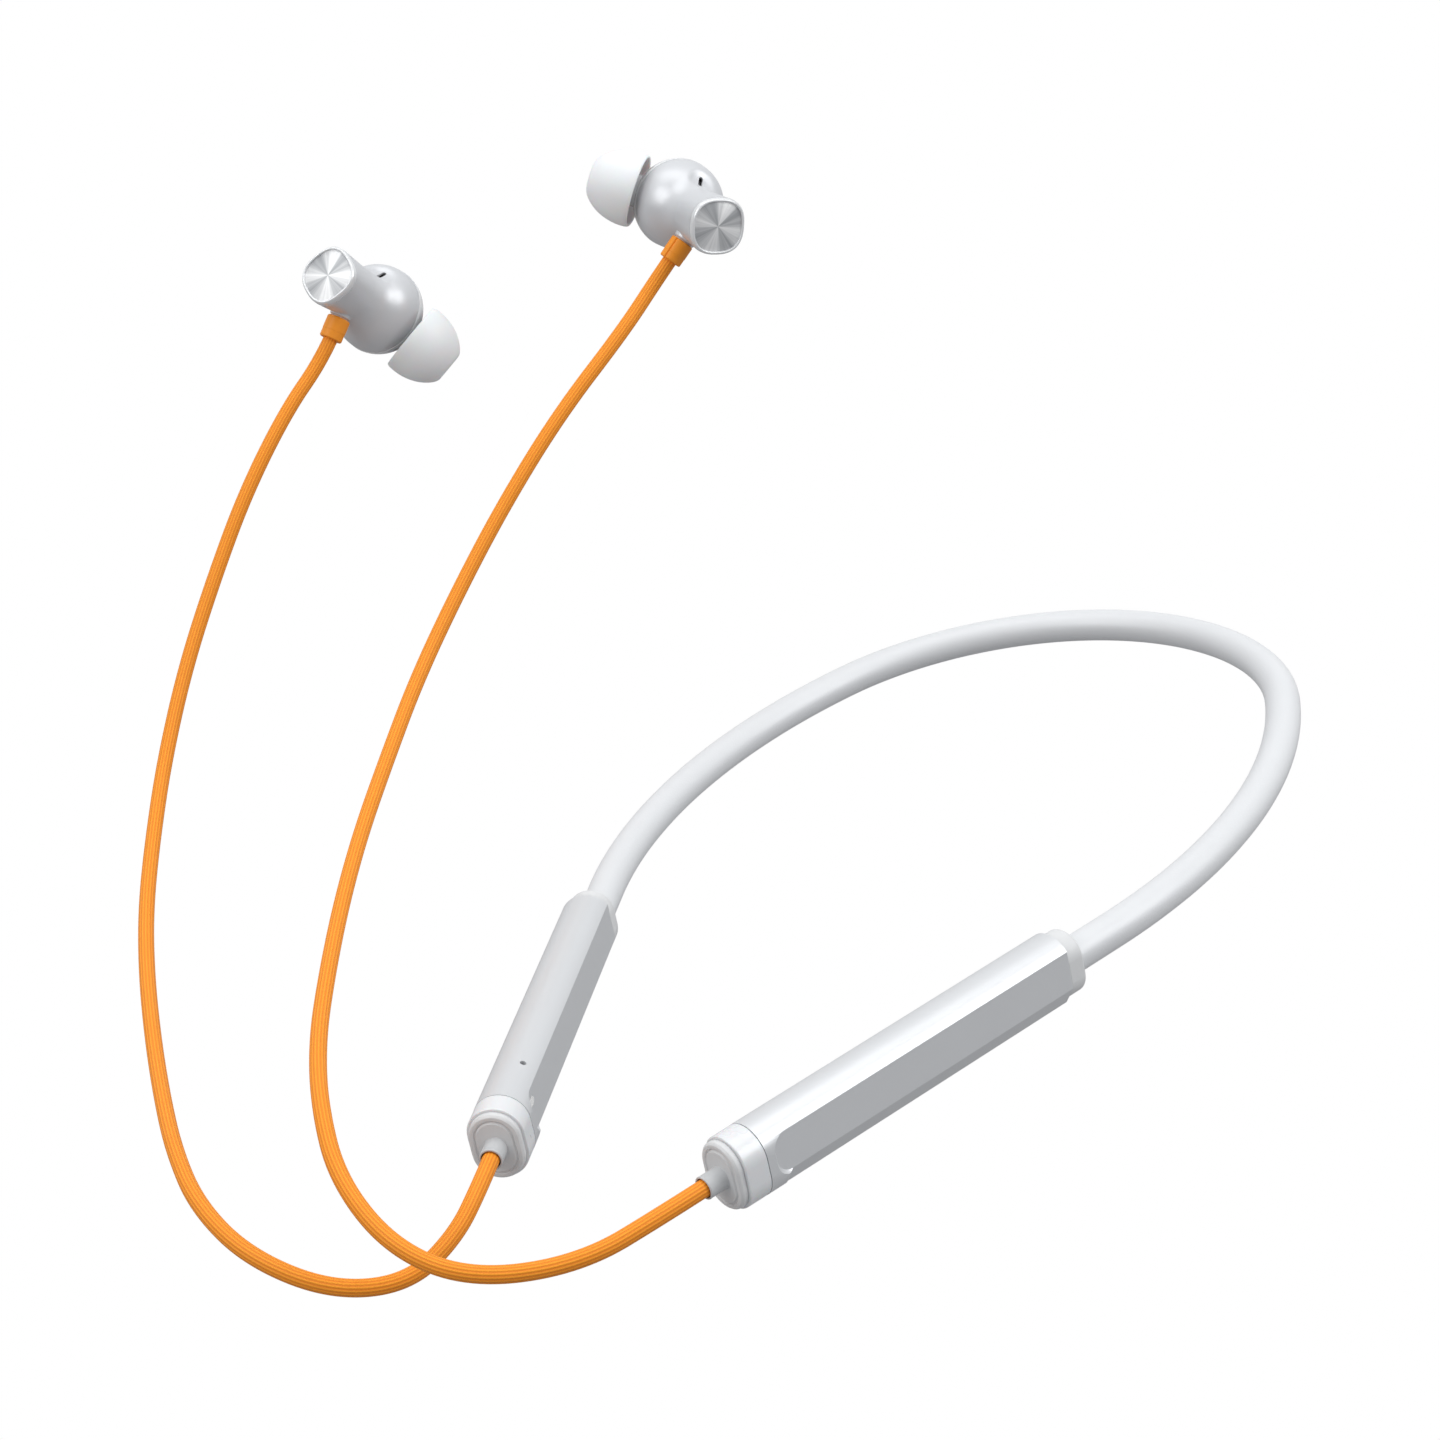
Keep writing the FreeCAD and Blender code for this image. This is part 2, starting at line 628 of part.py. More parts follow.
def make_frame(side):
    # A tray along the floor with a stop at each end.
    frame = housing_frame(side)
    start = D.frame_start if side == "right" else D.board_start
    end = D.frame_start + D.frame_length
    half = D.frame_half_width
    floor = (-D.frame_drop - D.frame_floor, -D.frame_drop)
    shapes = [block("%s_tray_floor" % side, (start, end), (-half, half), floor)]
    for index, low in enumerate((start, end - D.frame_stop)):
        stop = (-D.frame_drop - D.frame_floor, -D.frame_drop + D.frame_stop_height)
        along = (low, low + D.frame_stop)
        shapes.append(block("%s_tray_stop%d" % (side, index), along, (-half, half / 2), stop))
    label_part(fuse("%s_tray" % side, shapes), "%s_inner_frame" % side, frame)


def make_power(side="left"):
    frame = housing_frame(side)
    low = -D.frame_drop + D.face_gap
    thick = D.battery_thickness / 2
    end = D.battery_start + D.battery_length
    tall = (low, low + D.battery_height)
    plate("battery", frame, (D.battery_start, end), (-thick, thick), tall)
    board_end = D.battery_start - D.face_gap * 2
    plate("protection_board", frame, (board_end - D.board_thickness, board_end), (-thick, thick), tall)


def make_electronics(side="right"):
    frame = housing_frame(side)
    face = D.board_offset + D.board_thickness
    board = (D.board_start, D.board_start + D.board_length)
    plate("main_board", frame, board, (D.board_offset, face), (-D.board_low, D.board_high))
    place, size = BLUETOOTH_CHIP
    plate("bluetooth_chip", frame, *on_board(face, place, size))
    parts = [block(name, *on_board(face, place, size)) for name, (place, size) in BOARD_PARTS.items()]
    label_part(doc_compound("components", parts), "board_components", frame)
    strip = D.antenna_width / 2
    under = CAVITY_HEIGHT - D.antenna_gap
    plate("antenna", frame, (D.antenna_start, D.antenna_start + D.antenna_length), (-strip, strip),
          (under - D.antenna_thickness, under))
    make_port(frame)
    make_buttons(frame)
    make_mic_and_lamp(frame, face)


def on_board(face, place, size):
    # A chip's spans, from its lower corner on the board and its length, thickness and height.
    (x, z), (length, thick, height) = place, size
    start = D.board_start + x
    return (start, start + length), (face, face + thick), (z, z + height)


def doc_compound(name, parts):
    made = doc.addObject("Part::Compound", name)
    made.Links = parts
    return made


def make_port(frame):
    low, high = usb_across()
    middle = D.usb_start + D.usb_width / 2
    across = (low + high) / 2
    piece = Piece("usb_shell", frame)
    outer = piece.sketch("XY_Plane", -D.usb_mouth)
    flat_slot(outer, D.usb_width / 2, D.usb_thickness / 2, middle, across)
    piece.pad(outer, D.usb_mouth + D.usb_back)
    inner = piece.sketch("XY_Plane", -D.usb_mouth)
    flat_slot(inner, D.usb_width / 2 - D.usb_wall, D.usb_thickness / 2 - D.usb_wall, middle, across)
    piece.pocket(inner, D.usb_mouth + D.usb_back - D.usb_wall)
    half = D.tongue_width / 2
    thick = D.tongue_thickness / 2
    plate("usb_tongue", frame, (middle - half, middle + half), (across - thick, across + thick),
          (-D.usb_mouth + D.tongue_recess, D.usb_back - D.usb_wall))


def flat_slot(sketch, half_width, half_height, x, y):
    # A slot that lies along the sketch's x.
    radius = half_height
    straight = half_width - radius
    left, right = x - straight, x + straight
    for middle, turn in ((right, -math.pi / 2), (left, math.pi / 2)):
        circle = Part.Circle(V(middle.value, y.value, 0), V(0, 0, 1), radius.value)
        curve = sketch.addGeometry(Part.ArcOfCircle(circle, turn, turn + math.pi), False)
        pin_point(sketch, curve, 3, middle, y)
        pin_point(sketch, curve, 1, middle, y - radius if turn < 0 else y + radius)
        index = sketch.addConstraint(Sketcher.Constraint("DistanceX", -1, 1, curve, 2, middle.value))
        sketch.setExpression("Constraints[%d]" % index, middle.text)
    for side in (y - radius, y + radius):
        line = Part.LineSegment(V(left.value, side.value, 0), V(right.value, side.value, 0))
        curve = sketch.addGeometry(line, False)
        pin_point(sketch, curve, 1, left, side)
        pin_point(sketch, curve, 2, right, side)


def make_buttons(frame):
    half, tall = D.button_length / 2, D.button_height / 2
    over = D.button_flange_over
    top = FACET_REACH + D.button_proud
    switches = []
    for label, middle in button_middles().items():
        cap = block(label + "_cap", (middle - half, middle + half), (-top, -BUTTON_BASE), (-tall, tall))
        flange = block(label + "_flange", (middle - half - over, middle + half + over),
                       (-BUTTON_BASE - D.button_flange, -BUTTON_BASE), (-tall - over, tall + over))
        label_part(fuse(label + "_body", [cap, flange]), label, frame)
        long, high = D.switch_length / 2, D.switch_height / 2
        box = block(label + "_switch", (middle - long, middle + long), (-D.switch_reach, D.board_offset),
                    (-high, high))
        reach = BUTTON_BASE - D.button_travel - D.fit
        spot = at(V(middle.value, -reach.value, 0), aim(V(0, 1, 0)))
        plunger = rod(label + "_plunger", D.plunger_radius, reach, spot)
        switches.append(fuse(label + "_tact", [box, plunger]))
    label_part(doc_compound("switch_group", switches), "tact_switches", frame)


def make_mic_and_lamp(frame, face):
    long, wide = D.mic_length / 2, D.mic_width / 2
    plate("microphone", frame * shoulder_frame(D.mic_place, D.mic_angle, MIC_REACH - D.fit), (-long, long),
          (-wide, wide), (-D.mic_depth, 0))
    disc("microphone_mesh", frame * shoulder_frame(D.mic_place, D.mic_angle, MIC_REACH), D.mesh_radius, 0,
         D.mesh_thickness)
    guide = lamp_outline("lamp_guide", -D.fit, FACET_REACH)
    label_part(fuse("lamp_guide_body", guide), "light_guide", frame)
    half = D.led_length / 2
    plate("led", frame, (D.lamp_place - half, D.lamp_place + half), (face, CAVITY_WIDTH - D.led_gap),
          (D.board_high - D.led_height, D.board_high))


def clear_block(made):
    # A block placed by its own frame keeps no bound corner.
    for axis in "xyz":
        made.setExpression("Placement.Base." + axis, None)


# ---- earbuds ----

def on_sphere(radius, along):
    return (radius * radius - along * along).root()


def make_rear_shell(side):
    frame = bud_frame(side)
    ball, wall = D.ball_radius, D.bud_wall
    inner = ball - wall
    bore = D.neck_radius - wall
    waist = on_sphere(inner, bore)
    lathe("%s_rear_blank" % side, at(V()), [
        (on_sphere(ball, -D.seam_drop), -D.seam_drop, ball, 1),
        (on_sphere(ball, D.blend_start), D.blend_start, D.blend_radius, -1), (D.neck_radius, D.blend_end),
        (D.barrel_radius, D.barrel_end),
        (bore, D.barrel_end), (bore, waist, inner, -1), (on_sphere(inner, -D.seam_drop), -D.seam_drop)])
    blank = doc.getObject("%s_rear_blank" % side)
    cord_hole = rod("%s_cord_hole" % side, D.collar_stem_radius + D.fit, D.barrel_radius,
                    at(V(bore.value / 2, 0, D.collar_place.value), aim(V(1, 0, 0))))
    slot = vent_slot(side)
    tools = fuse("%s_rear_tools" % side, [cord_hole] + slot)
    label_part(cut("%s_rear_cut" % side, blank, tools), "%s_rear_shell" % side, frame)


def vent_frame(side, reach):
    # On the barrel side of the ball, across from the cord, z pointing out.
    lean, turn = math.radians(D.vent_lean.value), math.radians(D.vent_turn.value)
    out = V(-math.sin(lean) * math.cos(turn), -SIDES[side] * math.sin(lean) * math.sin(turn), math.cos(lean))
    return at(out * reach, aim(out))


def vent_reach():
    # Half a wall's thickness inside the ball's inner face.
    return (D.ball_radius - D.bud_wall - D.bud_wall / 2).value


def vent_slot(side):
    half, thin = D.vent_length / 2, D.vent_width / 2
    made = block("%s_vent_hole" % side, (-half, half), (-thin, thin), (0, D.bud_wall * 4))
    clear_block(made)
    made.Placement = vent_frame(side, vent_reach()) * at(V(-half.value, -thin.value, 0))
    return [made]


def make_front_shell(side):
    frame = bud_frame(side)
    ball = D.ball_radius + D.rim_step
    inner = D.ball_radius - D.bud_wall
    drop = D.seam_drop
    lathe("%s_front_blank" % side, at(V()), [
        (0, -ball, ball, 1), (on_sphere(ball, -drop), -drop), (on_sphere(inner, -drop), -drop, inner, -1),
        (0, -inner)])
    blank = doc.getObject("%s_front_blank" % side)
    turn = bud_frame(side).inverse() * nozzle_frame(side)
    root, end = inner - D.nozzle_sink, D.nozzle_end
    neck = rod("%s_nozzle" % side, D.nozzle_radius, end - root, turn * at(V(0, 0, root.value)))
    wide = D.nozzle_end
    above = block("%s_seam_trim" % side, (-wide, wide), (-wide, wide), (-drop, wide))
    bore = rod("%s_nozzle_bore" % side, D.nozzle_bore, end, turn * at(V(0, 0, 1)))
    hollow = doc.addObject("Part::Sphere", "%s_front_hollow" % side)
    bind(hollow, "Radius", inner)
    clear = fuse("%s_nozzle_clear" % side, [hollow, above])
    body = fuse("%s_front_solid" % side, [blank, cut("%s_nozzle_tube" % side, neck, clear)])
    label_part(cut("%s_front_cut" % side, body, bore), "%s_front_shell" % side, frame)


def make_end(side):
    # The barrel's end: a bezel, a turned metal disc and the magnet that lets the buds clip together.
    frame = bud_frame(side)
    bore = D.neck_radius - D.bud_wall
    base, top = D.barrel_end, D.barrel_end + D.bezel_height
    inner = D.barrel_radius - D.bezel_wall
    seat = top - D.disc_depth - D.disc_thickness
    skirt = bore - D.fit
    lathe("%s_bezel_ring" % side, frame, [
        (skirt - D.skirt_wall, base - D.bezel_skirt), (skirt, base - D.bezel_skirt), (skirt, base),
        (D.barrel_radius, base), (D.barrel_radius, top), (inner, top), (inner, seat),
        (skirt - D.skirt_wall, seat)])
    disc("%s_end_disc" % side, frame, inner - D.fit, seat, seat + D.disc_thickness)
    magnet_top = base - D.bezel_skirt - D.face_gap
    disc("%s_snap_magnet" % side, frame, D.snap_magnet_radius, magnet_top - D.snap_magnet_height, magnet_top)


def make_driver(side):
    frame = nozzle_frame(side)
    outer, front, back = DRIVER_RADIUS, D.driver_front, -D.driver_back
    wall = D.driver_wall
    seat = DRIVER_MAGNET_RADIUS + D.fit
    lathe("%s_driver_frame" % side, frame, [
        (seat, back), (outer, back), (outer, front), (outer - wall, front), (outer - wall, back + wall),
        (seat, back + wall)])
    disc("%s_driver_magnet" % side, frame, DRIVER_MAGNET_RADIUS, back, back + D.driver_magnet_height)
    rim = outer - wall - D.fit
    low = front - D.face_gap - D.diaphragm_drop
    lathe("%s_driver_diaphragm" % side, frame, [
        (0, low), (rim, low - D.diaphragm_skin), (rim, low), (0, low + D.diaphragm_crown)])


def make_meshes(side):
    frame = nozzle_frame(side)
    top = D.nozzle_end - D.face_gap
    disc("%s_nozzle_mesh" % side, frame, D.nozzle_bore - D.fit, top - D.mesh_thickness, top)
    place = bud_frame(side) * vent_frame(side, vent_reach())
    disc("%s_vent_mesh" % side, place, D.vent_length / 2 + D.vent_mesh_over, -D.mesh_thickness, 0)


def make_tip(side):
    # A soft mushroom: a sleeve that grips the nozzle and a dome that folds back over it.
    sleeve = D.nozzle_radius + D.fit
    stem = sleeve + D.tip_sleeve_wall
    radius, wall = D.tip_radius, D.tip_wall
    front, rim, shoulder = D.tip_front, D.tip_rim, D.tip_shoulder
    flat = front - D.tip_lip
    lathe("%s_ear_tip" % side, nozzle_frame(side), [
        (radius - wall, rim), (radius, rim), (radius, shoulder, radius, 1), (D.tip_mouth + wall, front),
        (D.tip_mouth, front - wall / 2), (D.tip_mouth, flat), (sleeve, D.nozzle_end + D.fit),
        (sleeve, D.tip_sleeve_start), (stem, D.tip_sleeve_start), (stem, flat - wall),
        (radius - wall, shoulder - wall)])


def make_collar(side):
    frame = bud_frame(side) * at(V(0, 0, D.collar_place.value), aim(V(1, 0, 0)))
    start, end = D.collar_start, D.collar_start + D.collar_length
    recess = D.cord_diameter / 2 + D.fit
    wire_bore = D.cord_diameter / 4
    seat = end - D.collar_recess
    lathe("%s_cord_collar" % side, frame, [
        (wire_bore, start - D.collar_stem), (D.collar_stem_radius, start - D.collar_stem),
        (D.collar_stem_radius, start), (D.collar_radius, start), (D.collar_radius, end), (recess, end),
        (recess, seat), (wire_bore, seat)])


# ---- cords ----

def cord_ends(side):
    # The cord starts in the gland's recess and ends in the collar's, straight for a short lead.
    gland_seat = GLAND_MOUTH.value - D.gland_recess.value
    collar_seat = D.collar_start.value + D.collar_length.value - D.collar_recess.value
    housing, bud = housing_frame(side), bud_frame(side)
    start = [housing.multVec(V(gland_seat + lead, 0, 0)) for lead in (0, D.gland_lead.value)]
    end = [bud.multVec(V(collar_seat + lead, 0, D.collar_place.value)) for lead in (D.collar_lead.value, 0)]
    return start, end


def make_cord(side, route):
    # Straight runs joined by tangent arcs, each as large as its two runs allow.
    start, end = cord_ends(side)
    points = start + route + end
    edges = []
    radii = []
    # the part of a run that each of its two arcs may take up
    share = 0.45
    here = points[0]
    for before, corner, after in zip(points, points[1:], points[2:]):
        back, ahead = before - corner, after - corner
        reach = share * min(back.Length, ahead.Length)
        turn = math.pi - back.getAngle(ahead)
        radii.append(reach / math.tan(turn / 2))
        back.normalize()
        ahead.normalize()
        first, last = corner + back * reach, corner + ahead * reach
        bisector = (back + ahead).normalize()
        depth = radii[-1] * (1 / math.cos(turn / 2) - 1)
        edges.append(Part.LineSegment(here, first).toShape())
        edges.append(Part.Arc(first, corner + bisector * depth, last).toShape())
        here = last
    edges.append(Part.LineSegment(here, points[-1]).toShape())
    path = Part.Wire(edges)
    radius = D.cord_diameter.value / 2
    section = Part.Wire([Part.Circle(points[0], points[1] - points[0], radius).toShape()])
    tube = swept(path, section)
    solid_part("%s_cord" % side, tube, at(V()))
    ratio = tube.Volume / (math.pi * radius ** 2 * path.Length)
    print("%s cord: length %.1f, volume ratio %.4f, radii %s" % (
        side, path.Length, ratio, " ".join("%.0f" % r for r in radii)))
    print("  " + " ".join("(%.1f, %.1f, %.1f)" % tuple(p) for p in points))


# ---- the whole ----

make_band()
for side in SIDES:
    make_shell(side)
    make_caps(side)
    make_frame(side)
    make_rear_shell(side)
    make_front_shell(side)
    make_end(side)
    make_driver(side)
    make_meshes(side)
    make_tip(side)
    make_collar(side)
make_power()
make_electronics()
make_cord("left", LEFT_ROUTE)
make_cord("right", RIGHT_ROUTE)
doc.recompute()

NODES = ["band_sleeve", "memory_wire", "band_cable", "battery", "protection_board", "main_board",
         "bluetooth_chip", "board_components", "antenna", "usb_shell", "usb_tongue", "tact_switches",
         "volume_up_button", "call_button", "volume_down_button", "microphone", "microphone_mesh",
         "light_guide", "led"]
for side in SIDES:
    NODES += ["%s_%s" % (side, name) for name in (
        "shell", "band_cap", "clear_rim", "cord_cap", "cord_gland", "inner_frame", "rear_shell",
        "front_shell", "bezel_ring", "end_disc", "snap_magnet", "driver_frame", "driver_magnet",
        "driver_diaphragm", "nozzle_mesh", "vent_mesh", "ear_tip", "cord_collar", "cord")]

for thing in doc.Objects:
    faults = [word for word in thing.State if word in ("Invalid", "Error")]
    if faults:
        raise RuntimeError("%s failed: %s" % (thing.Label, faults))

os.makedirs("parts", exist_ok=True)
for label in NODES:
    part = doc.getObjectsByLabel(label)[0]
    if part.Shape.isNull() or not part.Shape.isValid() or part.Shape.Volume <= 0:
        raise RuntimeError("%s has no valid solid" % label)
    part.Shape.exportStep("parts/%s.step" % label)
print("%d nodes written" % len(NODES))
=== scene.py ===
import bpy
import bmesh
import json
import math
from mathutils import Matrix, Vector


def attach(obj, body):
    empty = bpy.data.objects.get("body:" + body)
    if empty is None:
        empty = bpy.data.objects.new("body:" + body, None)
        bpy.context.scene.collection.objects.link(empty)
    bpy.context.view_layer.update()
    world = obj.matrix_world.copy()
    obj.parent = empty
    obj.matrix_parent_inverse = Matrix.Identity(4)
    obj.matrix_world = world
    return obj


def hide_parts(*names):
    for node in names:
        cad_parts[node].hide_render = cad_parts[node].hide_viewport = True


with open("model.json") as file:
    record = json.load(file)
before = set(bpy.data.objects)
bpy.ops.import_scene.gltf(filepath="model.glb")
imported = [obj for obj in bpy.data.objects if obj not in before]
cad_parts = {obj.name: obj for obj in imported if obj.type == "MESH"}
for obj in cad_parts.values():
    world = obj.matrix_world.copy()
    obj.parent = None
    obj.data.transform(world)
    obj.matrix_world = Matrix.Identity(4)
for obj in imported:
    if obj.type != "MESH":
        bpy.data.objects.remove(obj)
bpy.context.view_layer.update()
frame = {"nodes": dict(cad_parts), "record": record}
mm = 0.001
mounts = {m["name"]: m for m in frame["record"]["mounts"]}


# camera

cameraView = {"place": (0.24111, -0.51196, 0.03334), "right": (0.85219, 0.52324, 0.0),
              "up": (-0.04392, 0.07154, 0.99647), "lens": 88.5, "sensor": 36, "clip": (0.02, 20)}


def makeCamera():
    data = bpy.data.cameras.new("studioCamera")
    data.lens = cameraView["lens"]
    data.sensor_width = cameraView["sensor"]
    data.clip_start, data.clip_end = cameraView["clip"]
    camera = bpy.data.objects.new("studioCamera", data)
    right, up = Vector(cameraView["right"]).normalized(), Vector(cameraView["up"]).normalized()
    turn = Matrix((right, up, right.cross(up))).transposed()
    camera.matrix_world = Matrix.Translation(cameraView["place"]) @ turn.to_4x4()
    bpy.context.scene.collection.objects.link(camera)
    bpy.context.scene.camera = camera


makeCamera()
print("camera ready")


# materials

def newGroup(name, inputs, outputs):
    group = bpy.data.node_groups.new(name, "ShaderNodeTree")
    for label, kind, value in inputs:
        socket = group.interface.new_socket(label, in_out="INPUT", socket_type=kind)
        socket.default_value = value
    for label, kind in outputs:
        group.interface.new_socket(label, in_out="OUTPUT", socket_type=kind)
    return group, group.nodes.new("NodeGroupInput"), group.nodes.new("NodeGroupOutput")


def mathNode(nodes, operation, second=None, third=None):
    # a maths node, with a constant on each input that nothing is linked to
    node = nodes.new("ShaderNodeMath")
    node.operation = operation
    if second is not None:
        node.inputs[1].default_value = second
    if third is not None:
        node.inputs[2].default_value = third
    return node


def noiseNode(nodes, detail, scale=None):
    node = nodes.new("ShaderNodeTexNoise")
    node.inputs["Detail"].default_value = detail
    if scale is not None:
        node.inputs["Scale"].default_value = scale
    return node


def rampNode(nodes, lowAt, lowColour, highAt, highColour):
    node = nodes.new("ShaderNodeValToRGB")
    ends = node.color_ramp.elements
    ends[0].position, ends[0].color = lowAt, lowColour
    ends[1].position, ends[1].color = highAt, highColour
    return node


grainSizes = {"fineDetail": 2, "wideScale": 90, "wideDetail": 3, "bumpDistance": 0.00008}


def makeGrainGroup():
    # fine moulding grain: a slightly mottled colour, uneven gloss and a shallow bump
    group, inside, out = newGroup(
        "fineGrain",
        [("Colour", "NodeSocketColor", (0.8, 0.8, 0.8, 1)),
         ("Other", "NodeSocketColor", (0.7, 0.7, 0.7, 1)),
         ("Scale", "NodeSocketFloat", 2500.0), ("Rough", "NodeSocketFloat", 0.4),
         ("RoughSpread", "NodeSocketFloat", 0.08), ("Depth", "NodeSocketFloat", 0.15)],
        [("Colour", "NodeSocketColor"), ("Rough", "NodeSocketFloat"), ("Normal", "NodeSocketVector")])
    nodes, links = group.nodes, group.links
    place = nodes.new("ShaderNodeTexCoord")
    fine = noiseNode(nodes, grainSizes["fineDetail"])
    wide = noiseNode(nodes, grainSizes["wideDetail"], grainSizes["wideScale"])
    tone = nodes.new("ShaderNodeMix")
    tone.data_type = "RGBA"
    rough = mathNode(nodes, "MULTIPLY_ADD")
    lower = mathNode(nodes, "SUBTRACT", 0.5)
    bump = nodes.new("ShaderNodeBump")
    bump.inputs["Distance"].default_value = grainSizes["bumpDistance"]
    links.new(place.outputs["Object"], fine.inputs["Vector"])
    links.new(place.outputs["Object"], wide.inputs["Vector"])
    links.new(inside.outputs["Scale"], fine.inputs["Scale"])
    links.new(wide.outputs["Fac"], tone.inputs["Factor"])
    links.new(inside.outputs["Colour"], tone.inputs["A"])
    links.new(inside.outputs["Other"], tone.inputs["B"])
    links.new(wide.outputs["Fac"], lower.inputs[0])
    links.new(lower.outputs[0], rough.inputs[0])
    links.new(inside.outputs["RoughSpread"], rough.inputs[1])
    links.new(inside.outputs["Rough"], rough.inputs[2])
    links.new(fine.outputs["Fac"], bump.inputs["Height"])
    links.new(inside.outputs["Depth"], bump.inputs["Strength"])
    links.new(tone.outputs["Result"], out.inputs["Colour"])
    links.new(rough.outputs[0], out.inputs["Rough"])
    links.new(bump.outputs[0], out.inputs["Normal"])
    return group


grainGroup = makeGrainGroup()


def newMaterial(name, **constants):
    material = bpy.data.materials.new(name)
    material.use_nodes = True
    shader = material.node_tree.nodes["Principled BSDF"]
    for label, value in constants.items():
        shader.inputs[label.replace("_", " ")].default_value = value
    return material, shader


def grainMaterial(name, colour, other, scale=2500, rough=0.4, spread=0.08, depth=0.15, **constants):
    # a plain finish with the fine grain, every other setting a constant on the shader
    material, shader = newMaterial(name, **constants)
    nodes, links = material.node_tree.nodes, material.node_tree.links
    grain = nodes.new("ShaderNodeGroup")
    grain.node_tree = grainGroup
    grain.inputs["Colour"].default_value = (*colour, 1)
    grain.inputs["Other"].default_value = (*other, 1)
    grain.inputs["Scale"].default_value = scale
    grain.inputs["Rough"].default_value = rough
    grain.inputs["RoughSpread"].default_value = spread
    grain.inputs["Depth"].default_value = depth
    links.new(grain.outputs["Colour"], shader.inputs["Base Color"])
    links.new(grain.outputs["Rough"], shader.inputs["Roughness"])
    links.new(grain.outputs["Normal"], shader.inputs["Normal"])
    return material


finishes = {
    "housingSatin": dict(colour=(0.70, 0.71, 0.725), other=(0.67, 0.68, 0.695), rough=0.33, spread=0.06,
                         depth=0.10, Metallic=0.42),
    "budSatin": dict(colour=(0.67, 0.68, 0.70), other=(0.645, 0.655, 0.675), rough=0.37, spread=0.05,
                     depth=0.05, Metallic=0.3),
    "rimGloss": dict(colour=(0.80, 0.81, 0.82), other=(0.77, 0.78, 0.79), rough=0.22, spread=0.04,
                     depth=0.04, Coat_Weight=0.2, Coat_Roughness=0.15),
    "sleeveSilicone": dict(colour=(0.71, 0.72, 0.735), other=(0.68, 0.69, 0.705), scale=3500, rough=0.46,
                           depth=0.22, Metallic=0.12, Sheen_Weight=0.15),
    "tipSilicone": dict(colour=(0.87, 0.875, 0.885), other=(0.84, 0.845, 0.855), scale=3000, rough=0.48,
                        depth=0.12, Subsurface_Weight=0.2, Subsurface_Scale=0.002, Sheen_Weight=0.2),
    "capMatte": dict(colour=(0.68, 0.685, 0.69), other=(0.65, 0.655, 0.66), rough=0.42, depth=0.15),
    "glandGrey": dict(colour=(0.55, 0.56, 0.57), other=(0.51, 0.52, 0.53), rough=0.5, depth=0.2),
    # near black: painted shade for the gap between the gland and the cord
    "paintedBoreShade": dict(colour=(0.02, 0.015, 0.012), other=(0.03, 0.025, 0.02), rough=0.7),
    "collarOrange": dict(colour=(0.93, 0.32, 0.02), other=(0.88, 0.29, 0.018), rough=0.45, depth=0.12,
                         Specular_IOR_Level=0.35),
    "bezelBright": dict(colour=(0.80, 0.81, 0.82), other=(0.77, 0.78, 0.79), rough=0.25, depth=0.03,
                        Metallic=0.3),
    "milkyPlastic": dict(colour=(0.76, 0.77, 0.785), other=(0.73, 0.74, 0.755), rough=0.28, depth=0.05,
                         Subsurface_Weight=0.1, Subsurface_Scale=0.001, Metallic=0.1),
    "buttonSatin": dict(colour=(0.62, 0.63, 0.645), other=(0.59, 0.60, 0.615), rough=0.4, depth=0.12,
                        Metallic=0.3),
    "drawnSteel": dict(colour=(0.62, 0.62, 0.63), other=(0.55, 0.55, 0.56), rough=0.3, Metallic=1.0),
    "blackEpoxy": dict(colour=(0.02, 0.02, 0.022), other=(0.035, 0.035, 0.037), rough=0.55, depth=0.3),
    "boardGreen": dict(colour=(0.02, 0.12, 0.05), other=(0.03, 0.16, 0.07), rough=0.35, Coat_Weight=0.3),
    "cellFoil": dict(colour=(0.68, 0.69, 0.71), other=(0.60, 0.61, 0.63), scale=1200, rough=0.35,
                     depth=0.35, Metallic=0.9),
    "copperFilm": dict(colour=(0.72, 0.38, 0.18), other=(0.62, 0.32, 0.15), rough=0.35, Metallic=0.9),
    "frameMoulding": dict(colour=(0.78, 0.78, 0.76), other=(0.72, 0.72, 0.70), rough=0.5),
    "magnetNickel": dict(colour=(0.58, 0.57, 0.55), other=(0.50, 0.49, 0.48), rough=0.25, Metallic=1.0),
    "filmAmber": dict(colour=(0.30, 0.22, 0.12), other=(0.24, 0.17, 0.09), rough=0.3),
    "jacketBlack": dict(colour=(0.03, 0.03, 0.032), other=(0.05, 0.05, 0.052), rough=0.6, depth=0.3),
    "lampResin": dict(colour=(0.93, 0.93, 0.92), other=(0.90, 0.90, 0.89), rough=0.2,
                      Transmission_Weight=0.1),
}
materials = {name: grainMaterial(name, **settings) for name, settings in finishes.items()}


# groove is painted shade in the grooves between the ribs; mottle is a random tone
ribs = {"count": 15, "depth": 0.6, "distance": 0.0001, "colour": (0.97, 0.35, 0.022, 1),
        "groove": (0.80, 0.22, 0.012, 1), "mottle": 0.06, "mottleScale": 1800, "mottleDetail": 2,
        "roughness": 0.58, "specular": 0.3}


